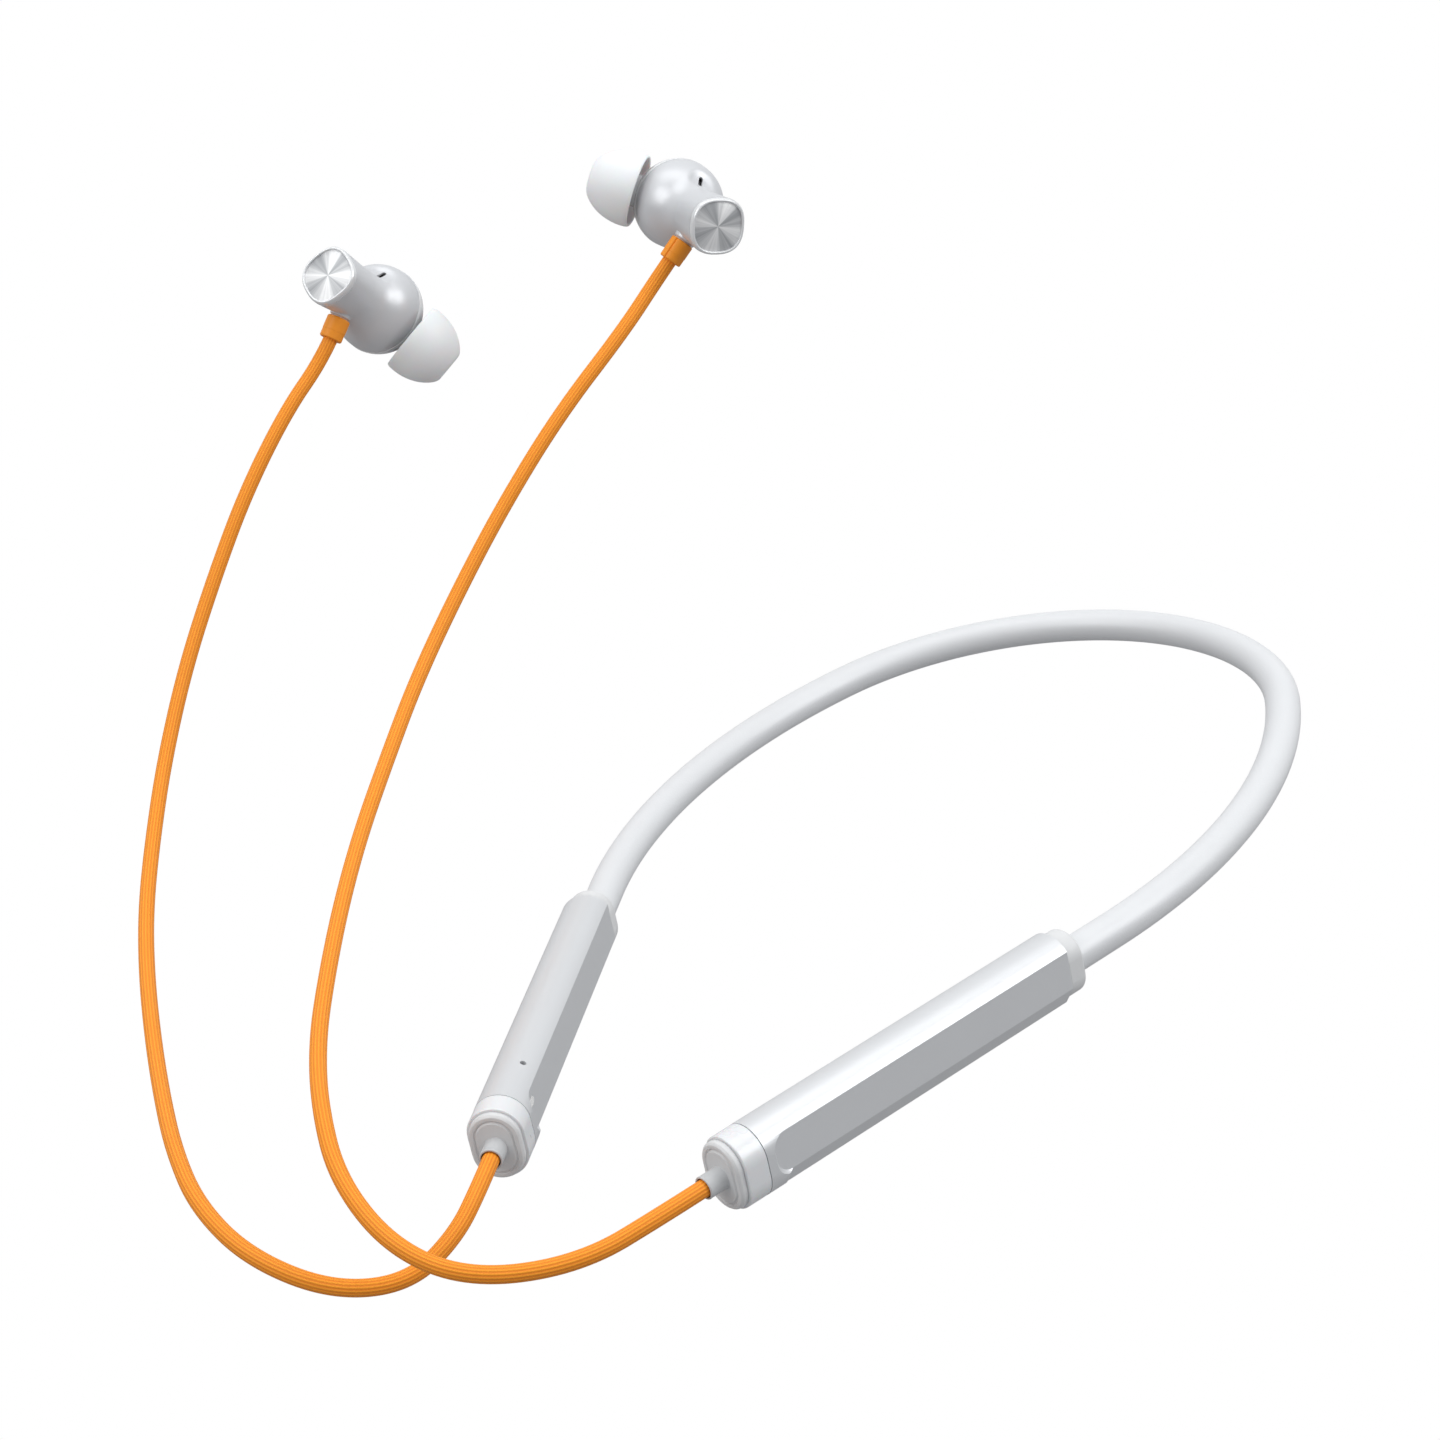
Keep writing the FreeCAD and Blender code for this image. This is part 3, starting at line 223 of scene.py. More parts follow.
def makeCordMaterial():
    # fine ribs run along the cord, from the curve's own UV: across its girth for the ribs, with the
    # grooves between them painted darker as painted shade
    material, shader = newMaterial("cordOrange", Roughness=ribs["roughness"],
                                   Specular_IOR_Level=ribs["specular"])
    nodes, links = material.node_tree.nodes, material.node_tree.links
    place = nodes.new("ShaderNodeTexCoord")
    parts = nodes.new("ShaderNodeSeparateXYZ")
    turn = mathNode(nodes, "MULTIPLY", ribs["count"] * 2 * math.pi)
    wave = mathNode(nodes, "SINE")
    level = nodes.new("ShaderNodeMapRange")
    level.inputs["From Min"].default_value = -1
    weave = noiseNode(nodes, ribs["mottleDetail"], ribs["mottleScale"])
    mottle = mathNode(nodes, "MULTIPLY_ADD", ribs["mottle"])
    tone = nodes.new("ShaderNodeMix")
    tone.data_type = "RGBA"
    # the groove colour is painted shade, darker where the wave sinks between the ribs
    tone.inputs["A"].default_value = ribs["groove"]
    tone.inputs["B"].default_value = ribs["colour"]
    bump = nodes.new("ShaderNodeBump")
    bump.inputs["Strength"].default_value = ribs["depth"]
    bump.inputs["Distance"].default_value = ribs["distance"]
    links.new(place.outputs["UV"], parts.inputs[0])
    links.new(place.outputs["Object"], weave.inputs["Vector"])
    links.new(parts.outputs["Y"], turn.inputs[0])
    links.new(turn.outputs[0], wave.inputs[0])
    links.new(wave.outputs[0], level.inputs["Value"])
    links.new(weave.outputs["Fac"], mottle.inputs[0])
    links.new(level.outputs[0], mottle.inputs[2])
    links.new(mottle.outputs[0], tone.inputs["Factor"])
    links.new(level.outputs[0], bump.inputs["Height"])
    links.new(tone.outputs["Result"], shader.inputs["Base Color"])
    links.new(bump.outputs[0], shader.inputs["Normal"])
    return material


# the wedges and streaks are painted highlights and painted shade of the metal's reflections, set in its
# colour
spunSizes = {"wedges": 4, "wedgeTurn": 0.6, "wedgeWeight": 0.18, "streakScale": 2.6, "streakDetail": 5,
             "streakRoughness": 0.65, "darkAt": 0.3, "dark": (0.4, 0.41, 0.425, 1), "brightAt": 0.8,
             "bright": (1, 1, 1, 1), "rings": 60, "ringDepth": 0.25, "ringDistance": 0.00002,
             "metallic": 0.4, "roughness": 0.4}


def makeSpunMaterial(name, place):
    # turned metal: painted highlight wedges and streaks round the disc's own centre, painted highlight and
    # painted shade in the base colour, and fine rings across them
    sizes = spunSizes
    material, shader = newMaterial(name, Metallic=sizes["metallic"], Roughness=sizes["roughness"])
    nodes, links = material.node_tree.nodes, material.node_tree.links
    coord = nodes.new("ShaderNodeTexCoord")
    local = nodes.new("ShaderNodeMapping")
    centre, turn, size = place.inverted().decompose()
    local.inputs["Location"].default_value = centre
    local.inputs["Rotation"].default_value = turn.to_euler()
    local.inputs["Scale"].default_value = size
    parts = nodes.new("ShaderNodeSeparateXYZ")
    angle = mathNode(nodes, "ARCTAN2")
    wedges = mathNode(nodes, "MULTIPLY_ADD", sizes["wedges"], sizes["wedgeTurn"])
    wave = mathNode(nodes, "SINE")
    radial = nodes.new("ShaderNodeVectorMath")
    radial.operation = "NORMALIZE"
    streak = noiseNode(nodes, sizes["streakDetail"], sizes["streakScale"])
    streak.inputs["Roughness"].default_value = sizes["streakRoughness"]
    total = mathNode(nodes, "MULTIPLY_ADD", sizes["wedgeWeight"])
    # the ramp paints the colour from painted shade to painted highlight
    ramp = rampNode(nodes, sizes["darkAt"], sizes["dark"], sizes["brightAt"], sizes["bright"])
    flat = nodes.new("ShaderNodeVectorMath")
    flat.operation = "MULTIPLY"
    flat.inputs[1].default_value = (1, 1, 0)
    away = nodes.new("ShaderNodeVectorMath")
    away.operation = "LENGTH"
    rings = mathNode(nodes, "MULTIPLY", sizes["rings"])
    ridge = mathNode(nodes, "SINE")
    bump = nodes.new("ShaderNodeBump")
    bump.inputs["Strength"].default_value = sizes["ringDepth"]
    bump.inputs["Distance"].default_value = sizes["ringDistance"]
    links.new(coord.outputs["Object"], local.inputs["Vector"])
    links.new(local.outputs[0], parts.inputs[0])
    links.new(parts.outputs["Y"], angle.inputs[0])
    links.new(parts.outputs["X"], angle.inputs[1])
    links.new(angle.outputs[0], wedges.inputs[0])
    links.new(wedges.outputs[0], wave.inputs[0])
    links.new(local.outputs[0], flat.inputs[0])
    links.new(flat.outputs[0], radial.inputs[0])
    links.new(radial.outputs[0], streak.inputs["Vector"])
    links.new(wave.outputs[0], total.inputs[0])
    links.new(streak.outputs["Fac"], total.inputs[2])
    links.new(total.outputs[0], ramp.inputs["Fac"])
    links.new(ramp.outputs["Color"], shader.inputs["Base Color"])
    links.new(flat.outputs[0], away.inputs[0])
    links.new(away.outputs["Value"], rings.inputs[0])
    links.new(rings.outputs[0], ridge.inputs[0])
    links.new(ridge.outputs[0], bump.inputs["Height"])
    links.new(bump.outputs[0], shader.inputs["Normal"])
    return material


# the dark colour is painted shade in the mesh's openings; the brighter colour is the threads' own
wireSizes = {"cells": 6000, "darkAt": 0.3, "dark": (0.01, 0.01, 0.01, 1), "brightAt": 0.6,
             "bright": (0.22, 0.22, 0.23, 1), "metallic": 0.8, "roughness": 0.4}


def makeMeshMaterial():
    # wire mesh: small openings painted dark, painted shade in the holes, between brighter threads
    sizes = wireSizes
    material, shader = newMaterial("wovenWire", Metallic=sizes["metallic"], Roughness=sizes["roughness"])
    nodes, links = material.node_tree.nodes, material.node_tree.links
    place = nodes.new("ShaderNodeTexCoord")
    cells = nodes.new("ShaderNodeTexVoronoi")
    cells.inputs["Scale"].default_value = sizes["cells"]
    ramp = rampNode(nodes, sizes["darkAt"], sizes["dark"], sizes["brightAt"], sizes["bright"])
    links.new(place.outputs["Object"], cells.inputs["Vector"])
    links.new(cells.outputs["Distance"], ramp.inputs["Fac"])
    links.new(ramp.outputs["Color"], shader.inputs["Base Color"])
    return material


materials["cordOrange"] = makeCordMaterial()
materials["wovenWire"] = makeMeshMaterial()
print("materials ready")


# cords: the routes of the two free cords, gland to earbud, in metres

cordSizes = {"diameter": 0.0023, "lengths": {"left": 0.2498, "right": 0.2399}, "roundness": 8,
             "smoothness": 12}
cordRoutes = {
    "left": [(0.0164, -0.1478, -0.0597), (0.0139, -0.1543, -0.0624), (0.008, -0.164, -0.0675),
             (-0.002, -0.1725, -0.069), (-0.012, -0.175, -0.066), (-0.023, -0.1715, -0.0595),
             (-0.032, -0.1635, -0.0525), (-0.0405, -0.153, -0.0465), (-0.0485, -0.1405, -0.04),
             (-0.056, -0.1275, -0.0325), (-0.0625, -0.1145, -0.0245), (-0.068, -0.101, -0.0155),
             (-0.0715, -0.089, -0.005), (-0.0715, -0.079, 0.007), (-0.069, -0.07, 0.0205),
             (-0.065, -0.0605, 0.0345), (-0.06, -0.05, 0.0475), (-0.0578, -0.0439, 0.0555),
             (-0.0554, -0.0424, 0.0596)],
    "right": [(-0.0164, -0.1478, -0.0597), (-0.0139, -0.1543, -0.0624), (-0.0135, -0.16, -0.0675),
              (-0.016, -0.1665, -0.0725), (-0.023, -0.173, -0.073), (-0.0335, -0.176, -0.0695),
              (-0.0445, -0.1725, -0.065), (-0.055, -0.1645, -0.0605), (-0.0655, -0.1545, -0.056),
              (-0.076, -0.144, -0.0505), (-0.086, -0.1335, -0.044), (-0.0955, -0.1225, -0.037),
              (-0.1035, -0.1115, -0.0285), (-0.1095, -0.1015, -0.0175), (-0.1115, -0.094, -0.004),
              (-0.111, -0.0875, 0.0095), (-0.1095, -0.0815, 0.0225), (-0.107, -0.0745, 0.035),
              (-0.105, -0.0679, 0.0431), (-0.1037, -0.0663, 0.0477)],
}


def makeCord(side):
    points = cordRoutes[side]
    curve = bpy.data.curves.new(side + "Cord", "CURVE")
    curve.dimensions = "3D"
    curve.bevel_depth = cordSizes["diameter"] / 2
    curve.bevel_resolution = cordSizes["roundness"]
    curve.resolution_u = cordSizes["smoothness"]
    curve.use_fill_caps = True
    spline = curve.splines.new("NURBS")
    spline.points.add(len(points) - 1)
    for point, place in zip(spline.points, points):
        point.co = (*place, 1)
    spline.order_u = 3
    spline.use_endpoint_u = True
    curve.materials.append(materials["cordOrange"])
    cord = bpy.data.objects.new(side + "Cord", curve)
    bpy.context.scene.collection.objects.link(cord)
    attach(cord, "neckband")
    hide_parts(side + "_cord")


for side in ("left", "right"):
    makeCord(side)
print("cords laid")


# places: each frame is in millimetres, x along the cord's way out

frameReach = {"gland": 60.4, "disc": 15.8, "tip": 14.6}  # from each frame's centre to the known point

def frameAt(origin, along, upward):
    across = upward.cross(along)
    turn = Matrix((along, across, upward)).transposed().to_4x4()
    return Matrix.Translation(origin) @ turn @ Matrix.Scale(mm, 4)


def housingFrame(side):
    first, second = (Vector(point) for point in cordRoutes[side][:2])
    upward = -Vector(mounts["usb_port"]["axis"]).normalized()
    along = second - first
    along = (along - upward * along.dot(upward)).normalized()
    return frameAt(first - along * frameReach["gland"] * mm, along, upward)


def budFrame(side):
    face = mounts[side + "_snap_face"]
    barrel = Vector(face["axis"]).normalized()
    centre = Vector(face["pos_m"]) - barrel * frameReach["disc"] * mm
    collar, leaving = Vector(cordRoutes[side][-1]), Vector(cordRoutes[side][-2])
    along = leaving - collar
    along = (along - barrel * along.dot(barrel)).normalized()
    return frameAt(centre, along, barrel)


def nozzleFrame(side):
    axis = Vector(mounts[side + "_ear"]["axis"]).normalized()
    centre = Vector(mounts[side + "_ear"]["pos_m"]) - axis * frameReach["tip"] * mm
    start = Vector((0, 0, 1)).cross(axis).normalized()
    return frameAt(centre, start, axis)


sideways = Matrix.Rotation(math.pi / 2, 4, "Y")  # turns a lathed piece's axis from z to x
outwardSign = {"left": 1, "right": -1}  # the sign of y that points away from the neck


# mesh helpers

weldGap = {"lathe": 0.001, "carve": 0.002, "band": 0.01}  # points nearer than this are merged
sharpAngle = 38


def smoothRise(value, low, high):
    share = min(max((value - low) / (high - low), 0), 1)
    return share * share * (3 - 2 * share)


def drawProfile(bm, corners, steps):
    # corners are (r, z), or (r, z, centre r, centre z) where an arc runs on to the next corner
    last = bm.verts.new((corners[0][0], 0, corners[0][1]))
    first = last
    for here, after in zip(corners, corners[1:] + corners[:1]):
        closing = after is corners[0]
        if len(here) == 2:
            end = first if closing else bm.verts.new((after[0], 0, after[1]))
            bm.edges.new((last, end))
            last = end
            continue
        centre = Vector((here[2], 0, here[3]))
        start = math.atan2(here[0] - centre.x, here[1] - centre.z)
        turn = math.atan2(after[0] - centre.x, after[1] - centre.z) - start
        turn = (turn + math.pi) % (2 * math.pi) - math.pi
        made = bmesh.ops.spin(bm, geom=[last], cent=centre, axis=(0, 1, 0), angle=turn, steps=steps)
        last = [v for v in made["geom_last"] if isinstance(v, bmesh.types.BMVert)][0]


def lathe(corners, steps=96, arcSteps=10):
    # a closed profile turned once round z
    bm = bmesh.new()
    drawProfile(bm, corners, arcSteps)
    bmesh.ops.remove_doubles(bm, verts=bm.verts, dist=weldGap["lathe"])
    bmesh.ops.spin(bm, geom=bm.verts[:] + bm.edges[:], cent=(0, 0, 0), axis=(0, 0, 1), angle=2 * math.pi,
                   steps=steps, use_merge=True)
    bmesh.ops.remove_doubles(bm, verts=bm.verts, dist=weldGap["lathe"])
    bmesh.ops.recalc_face_normals(bm, faces=bm.faces)
    return bm


def stadiumFace(bm, halfWidth, halfHeight, x, segments):
    # an upright slot across the housing: a circle whose halves are moved apart
    turn = Matrix.Rotation(math.pi / 2, 4, "Y") @ Matrix.Rotation(math.pi / segments, 4, "Z")
    made = bmesh.ops.create_circle(bm, cap_ends=True, segments=segments, radius=halfWidth,
                                   matrix=Matrix.Translation((x, 0, 0)) @ turn)
    for vert in made["verts"]:
        vert.co.z += math.copysign(halfHeight - halfWidth, vert.co.z)
    return made["verts"][0].link_faces[0]


def stadiumBar(halfWidth, halfHeight, start, end, segments):
    bm = bmesh.new()
    face = stadiumFace(bm, halfWidth, halfHeight, start, segments)
    made = bmesh.ops.extrude_face_region(bm, geom=[face])
    verts = [v for v in made["geom"] if isinstance(v, bmesh.types.BMVert)]
    bmesh.ops.translate(bm, verts=verts, vec=(end - start, 0, 0))
    bmesh.ops.recalc_face_normals(bm, faces=bm.faces)
    return bm


def slotBar(length, width, depth, place, segments=32):
    # a slot-shaped plug: its length along x, its width along y and its depth along z, from the origin
    bm = bmesh.new()
    turn = Matrix.Rotation(math.pi / segments, 4, "Z") @ Matrix.Rotation(math.pi / 2, 4, "Z")
    made = bmesh.ops.create_circle(bm, cap_ends=True, segments=segments, radius=width / 2, matrix=turn)
    for vert in made["verts"]:
        vert.co.x += math.copysign((length - width) / 2, vert.co.x)
    face = made["verts"][0].link_faces[0]
    made = bmesh.ops.extrude_face_region(bm, geom=[face])
    verts = [v for v in made["geom"] if isinstance(v, bmesh.types.BMVert)]
    bmesh.ops.translate(bm, verts=verts, vec=(0, 0, depth))
    bmesh.ops.recalc_face_normals(bm, faces=bm.faces)
    bmesh.ops.transform(bm, matrix=place, verts=bm.verts)
    return bm


def toObject(bm, name):
    mesh = bpy.data.meshes.new(name)
    bm.to_mesh(mesh)
    bm.free()
    made = bpy.data.objects.new(name, mesh)
    bpy.context.scene.collection.objects.link(made)
    return made


def carve(bm, cutters):
    # boolean cuts, one cutter at a time, applied at once
    target = toObject(bm, "carved")
    tools = []
    for index, cutter in enumerate(cutters):
        tool = toObject(cutter, "cutter%d" % index)
        step = target.modifiers.new("cut%d" % index, "BOOLEAN")
        step.operation = "DIFFERENCE"
        step.solver = "EXACT"
        step.object = tool
        tools.append(tool)
    bpy.context.view_layer.update()
    depsgraph = bpy.context.evaluated_depsgraph_get()
    result = bpy.data.meshes.new_from_object(target.evaluated_get(depsgraph))
    carved = bmesh.new()
    carved.from_mesh(result)
    for thing in [target] + tools:
        data = thing.data
        bpy.data.objects.remove(thing)
        bpy.data.meshes.remove(data)
    bpy.data.meshes.remove(result)
    bmesh.ops.remove_doubles(carved, verts=carved.verts, dist=weldGap["carve"])
    bmesh.ops.dissolve_degenerate(carved, dist=weldGap["carve"], edges=carved.edges)
    return carved


def addPiece(bm, name, body, finish, place, nodes=(), bevel=0.0, bevelAngle=25, subdivide=0,
             bevelSegments=3):
    # the mesh goes to its place in metres, and the object stays at the origin
    bm.transform(place)
    if place.determinant() < 0:
        bmesh.ops.reverse_faces(bm, faces=bm.faces)
    for face in bm.faces:
        face.smooth = True
    piece = toObject(bm, name)
    piece.data.materials.append(materials[finish])
    if bevel:
        edge = piece.modifiers.new("softEdge", "BEVEL")
        edge.width = bevel * mm
        edge.segments = bevelSegments
        edge.limit_method = "ANGLE"
        edge.angle_limit = math.radians(bevelAngle)
        edge.use_clamp_overlap = True
        shade = piece.modifiers.new("evenShade", "WEIGHTED_NORMAL")
        shade.keep_sharp = True
    elif not subdivide:
        piece.data.set_sharp_from_angle(angle=math.radians(sharpAngle))
    if subdivide:
        step = piece.modifiers.new("rounder", "SUBSURF")
        step.levels = step.render_levels = subdivide
    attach(piece, body)
    if nodes:
        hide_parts(*nodes)
    return piece


# band

bandSizes = {"tilt": 22, "width": 5.2, "height": 4.9, "rearRadius": 41, "rearTurn": 66, "sideRadius": 95,
             "sideTurn": 43.5, "lead": 11, "insert": 0.6, "loopSteps": 40, "rearSteps": 36,
             "sideSteps": 40}


def makeBand():
    # an oval loop at the nape, spun round each bend's centre and pushed along its lead
    sizes = bandSizes
    bm = bmesh.new()
    loop = bmesh.ops.create_circle(bm, segments=sizes["loopSteps"], radius=1,
                                   matrix=Matrix.Rotation(math.pi / 2, 4, "Y"))["verts"]
    for vert in loop:
        vert.co.y *= sizes["width"] / 2
        vert.co.z *= sizes["height"] / 2
        vert.co.y += sizes["width"] / 2
    geom = loop + list({edge for vert in loop for edge in vert.link_edges})
    centre = Vector((0, sizes["width"] / 2 - sizes["rearRadius"], 0))
    turn = -math.radians(sizes["rearTurn"])
    made = bmesh.ops.spin(bm, geom=geom, cent=centre, axis=(0, 0, 1), angle=turn,
                          steps=sizes["rearSteps"])
    tangentPoint = Vector((0, sizes["rearRadius"], 0))
    tangentPoint.rotate(Matrix.Rotation(turn, 3, "Z"))
    outward = tangentPoint.normalized()
    sideCentre = centre + tangentPoint - outward * sizes["sideRadius"]
    made = bmesh.ops.spin(bm, geom=made["geom_last"], cent=sideCentre, axis=(0, 0, 1),
                          angle=-math.radians(sizes["sideTurn"]), steps=sizes["sideSteps"])
    rimEdges = [e for e in made["geom_last"] if isinstance(e, bmesh.types.BMEdge)]
    made = bmesh.ops.extrude_edge_only(bm, edges=rimEdges)
    total = math.radians(sizes["rearTurn"] + sizes["sideTurn"])
    heading = Vector((math.cos(total), -math.sin(total), 0))
    ends = [v for v in made["geom"] if isinstance(v, bmesh.types.BMVert)]
    bmesh.ops.translate(bm, verts=ends, vec=heading * (sizes["lead"] - sizes["insert"]))
    endEdges = [e for e in made["geom"] if isinstance(e, bmesh.types.BMEdge)]
    bmesh.ops.contextual_create(bm, geom=endEdges)
    bmesh.ops.mirror(bm, geom=bm.verts[:] + bm.edges[:] + bm.faces[:], axis="X",
                     merge_dist=weldGap["band"])
    bmesh.ops.remove_doubles(bm, verts=bm.verts, dist=weldGap["band"])
    bmesh.ops.recalc_face_normals(bm, faces=bm.faces)
    place = Matrix.Rotation(math.radians(sizes["tilt"]), 4, "X") @ Matrix.Scale(mm, 4)
    addPiece(bm, "bandSleeve", "neckband", "sleeveSilicone", place, ["band_sleeve"])


makeBand()
print("band made")


# housings

housingSizes = {"length": 57.8, "halfWidth": 3.9, "halfHeight": 5.1, "wall": 1.15, "rimLength": 3.6,
                "rimGap": 0.02, "rimEdge": 0.2, "plug": 5.4, "facet": 3.3, "lowFacet": 3.97,
                "lowAngle": 35, "facetEnd": 50.3, "facetCorner": 2.2, "facetHalf": 2.75,
                "facetMiddle": 0.53, "ramp": 0.45, "rampRise": 1.2, "cornerSteps": 48, "edge": 0.14,
                "outerSteps": 96, "boreSteps": 64, "past": 1}
slabSizes = {"past": 2, "thick": 6, "tall": 16, "leanTall": 9, "lowRun": 12}
openingSizes = {"port": (9.24, 3.56, 4), "portPlace": (11.47, -0.68, -6.5), "button": (7.1, 2.8, 3),
                "buttonReach": 2.2, "mic": (0.91, 0.9, 4), "micPlace": (45.9, 0, 1.2), "micAngle": 64,
                "micStart": 2, "lamp": (2.4, 1.2, 3), "lampPlace": (50.9, 2.2, 1.6)}
buttonMiddles = {"volume_up_button": 23, "call_button": 32, "volume_down_button": 41}
outOfFlat = Matrix.Rotation(math.pi / 2, 4, "X")  # turns a slot's depth from z to -y


def facetCutter(sign):
    # a slab whose far end has two rounded corners and runs out on a ramp
    sizes = housingSizes
    corner, steps = sizes["facetCorner"], sizes["cornerSteps"]
    turn = Matrix.Rotation(math.pi / 2, 4, "X") @ Matrix.Rotation(math.pi / steps, 4, "Z")
    bm = bmesh.new()
    made = bmesh.ops.create_circle(bm, cap_ends=True, segments=steps, radius=corner, matrix=turn)
    for vert in made["verts"]:
        vert.co.z += math.copysign(sizes["facetHalf"] - corner, vert.co.z) + sizes["facetMiddle"]
        vert.co.x += sizes["facetEnd"]
        vert.co.y = sign * sizes["facet"]
    middle = Vector((sizes["facetEnd"], 0, sizes["facetMiddle"]))
    made = bmesh.ops.extrude_face_region(bm, geom=[made["verts"][0].link_faces[0]])
    tops = [v for v in made["geom"] if isinstance(v, bmesh.types.BMVert)]
    grow = 1 + sizes["ramp"] * 2 / corner
    bmesh.ops.translate(bm, verts=tops, vec=(0, sign * sizes["rampRise"], 0))
    bmesh.ops.scale(bm, verts=tops, vec=(grow, 1, grow), space=Matrix.Translation(-middle))
    bmesh.ops.recalc_face_normals(bm, faces=bm.faces)
    return bm


def slabCutter(sign, reach, lean):
    # a block outside the reach, from past the band end to where the flat ends
    sizes, end = slabSizes, housingSizes["facetEnd"]
    tall = sizes["leanTall"] if lean else sizes["tall"]
    bm = bmesh.new()
    shape = Matrix.Diagonal((end + sizes["past"], sizes["thick"], tall, 1))
    bmesh.ops.create_cube(bm, size=1, matrix=shape)
    bmesh.ops.translate(bm, verts=bm.verts,
                        vec=(end / 2 - sizes["past"] / 2, sign * (reach + sizes["thick"] / 2), 0))
    if lean:
        # the far end slopes, so the lean flat runs out softly
        for vert in bm.verts:
            if vert.co.x > 0 and abs(vert.co.y) > reach + sizes["thick"] / 2:
                vert.co.x += sizes["lowRun"]
    bmesh.ops.rotate(bm, verts=bm.verts, cent=(0, 0, 0), matrix=Matrix.Rotation(-sign * lean, 3, "X"))
    return bm


def rightOpenings():
    # the socket's mouth, the three button holes, the microphone's hole and the lamp's slot
    sizes = openingSizes
    holes = [slotBar(*sizes["port"], Matrix.Translation(sizes["portPlace"]))]
    for middle in buttonMiddles.values():
        spot = Matrix.Translation((middle, -sizes["buttonReach"], 0)) @ outOfFlat
        holes.append(slotBar(*sizes["button"], spot))
    lean = Matrix.Rotation(-(math.pi / 2 - math.radians(sizes["micAngle"])), 4, "X")
    micPlace = Matrix.Translation(sizes["micPlace"]) @ lean @ Matrix.Translation((0, 0, sizes["micStart"]))
    holes.append(slotBar(*sizes["mic"], micPlace))
    holes.append(slotBar(*sizes["lamp"], Matrix.Translation(sizes["lampPlace"]) @ outOfFlat.inverted()))
    return holes


def boreBar(start, end):
    # the cavity through a shell or a rim, past both of its ends
    sizes = housingSizes
    return stadiumBar(sizes["halfWidth"] - sizes["wall"], sizes["halfHeight"] - sizes["wall"],
                      start - sizes["past"], end + sizes["past"], sizes["boreSteps"])


def makeShell(side, place):
    sizes = housingSizes
    end = sizes["length"] - sizes["rimLength"]
    bar = stadiumBar(sizes["halfWidth"], sizes["halfHeight"], 0, end, sizes["outerSteps"])
    cutters = [boreBar(0, end)]
    for sign in (1, -1):
        cutters += [slabCutter(sign, sizes["facet"], 0), facetCutter(sign),
                    slabCutter(sign, sizes["lowFacet"], math.radians(sizes["lowAngle"]))]
    if side == "right":
        cutters += rightOpenings()
    addPiece(carve(bar, cutters), side + "HousingShell", "neckband", "housingSatin", place,
             [side + "_shell"], bevel=sizes["edge"], bevelAngle=20)


def makeRim(side, place):
    sizes = housingSizes
    start, end, gap = sizes["length"] - sizes["rimLength"], sizes["length"], sizes["rimGap"]
    bar = stadiumBar(sizes["halfWidth"] - gap, sizes["halfHeight"] - gap, start + gap, end,
                     sizes["outerSteps"])
    addPiece(carve(bar, [boreBar(start, end)]), side + "ClearRim", "neckband", "milkyPlastic", place,
             [side + "_clear_rim"], bevel=sizes["rimEdge"], bevelAngle=40)


def insetFace(bm, face, thickness, depth, way):
    # insets a cap's end face by a real width, then pushes it along the way
    bmesh.ops.inset_region(bm, faces=[face], thickness=thickness, use_even_offset=True)
    bmesh.ops.translate(bm, verts=face.verts, vec=way * depth)


def capEnd(bm, way):
    faces = [f for f in bm.faces if f.normal.dot(way) > 0.99 and len(f.verts) > 8]
    return max(faces, key=lambda f: f.calc_center_median().dot(way))


cordCapSizes = {"clearance": 0.05, "halfWidth": 3.5, "halfHeight": 4.7, "start": 0.02, "lip": 0.75,
                "faceSteps": [(0.28, 0.32), (0.45, 0.03), (0.14, -0.2), (0.12, 0.0), (0.16, 0.28)],
                "edge": 0.09, "plugEdge": 0.1}
glandSizes = {"start": 1.1, "steps": 64, "arcSteps": 5, "boreSteps": 48,
              "sleeve": [(1.32, -0.6), (1.8, -0.6), (1.8, -0.02), (1.64, 0.05), (1.55, 0.22),
                         (1.54, 2.72, 1.42, 2.82), (1.44, 2.94), (1.32, 2.94)],
              "bore": [(1.18, 0), (1.32, 0), (1.32, 2.5), (1.18, 2.5)]}
bandCapSizes = {"halfWidth": 3.35, "halfHeight": 4.55, "start": -2.8, "end": 0.4, "edge": 0.55,
                "collar": [(2.5, -0.9), (2.95, -0.9), (2.95, -0.02), (2.5, 0.12)], "steps": 64,
                "collarShape": (0.97, 1.02, 1), "collarEdge": 0.08}


def makeCordCap(side, place):
    # a plug with a lip, whose face has a shallow groove inside its rim and a slightly raised middle
    sizes, cap = housingSizes, cordCapSizes
    length, inward = sizes["length"], sizes["wall"] + cap["clearance"]
    plug = stadiumBar(sizes["halfWidth"] - inward, sizes["halfHeight"] - inward,
                      length - sizes["plug"], length + cap["clearance"], sizes["boreSteps"])
    addPiece(plug, side + "CordCapPlug", "neckband", "capMatte", place, bevel=cap["plugEdge"])
    lip = stadiumBar(cap["halfWidth"], cap["halfHeight"], length + cap["start"], length + cap["lip"],
                     sizes["outerSteps"])
    lip.normal_update()
    along = Vector((1, 0, 0))
    face = capEnd(lip, along)
    for thickness, depth in cap["faceSteps"]:
        insetFace(lip, face, thickness, depth, along)
    addPiece(lip, side + "CordCap", "neckband", "capMatte", place, [side + "_cord_cap"],
             bevel=cap["edge"], bevelAngle=20)


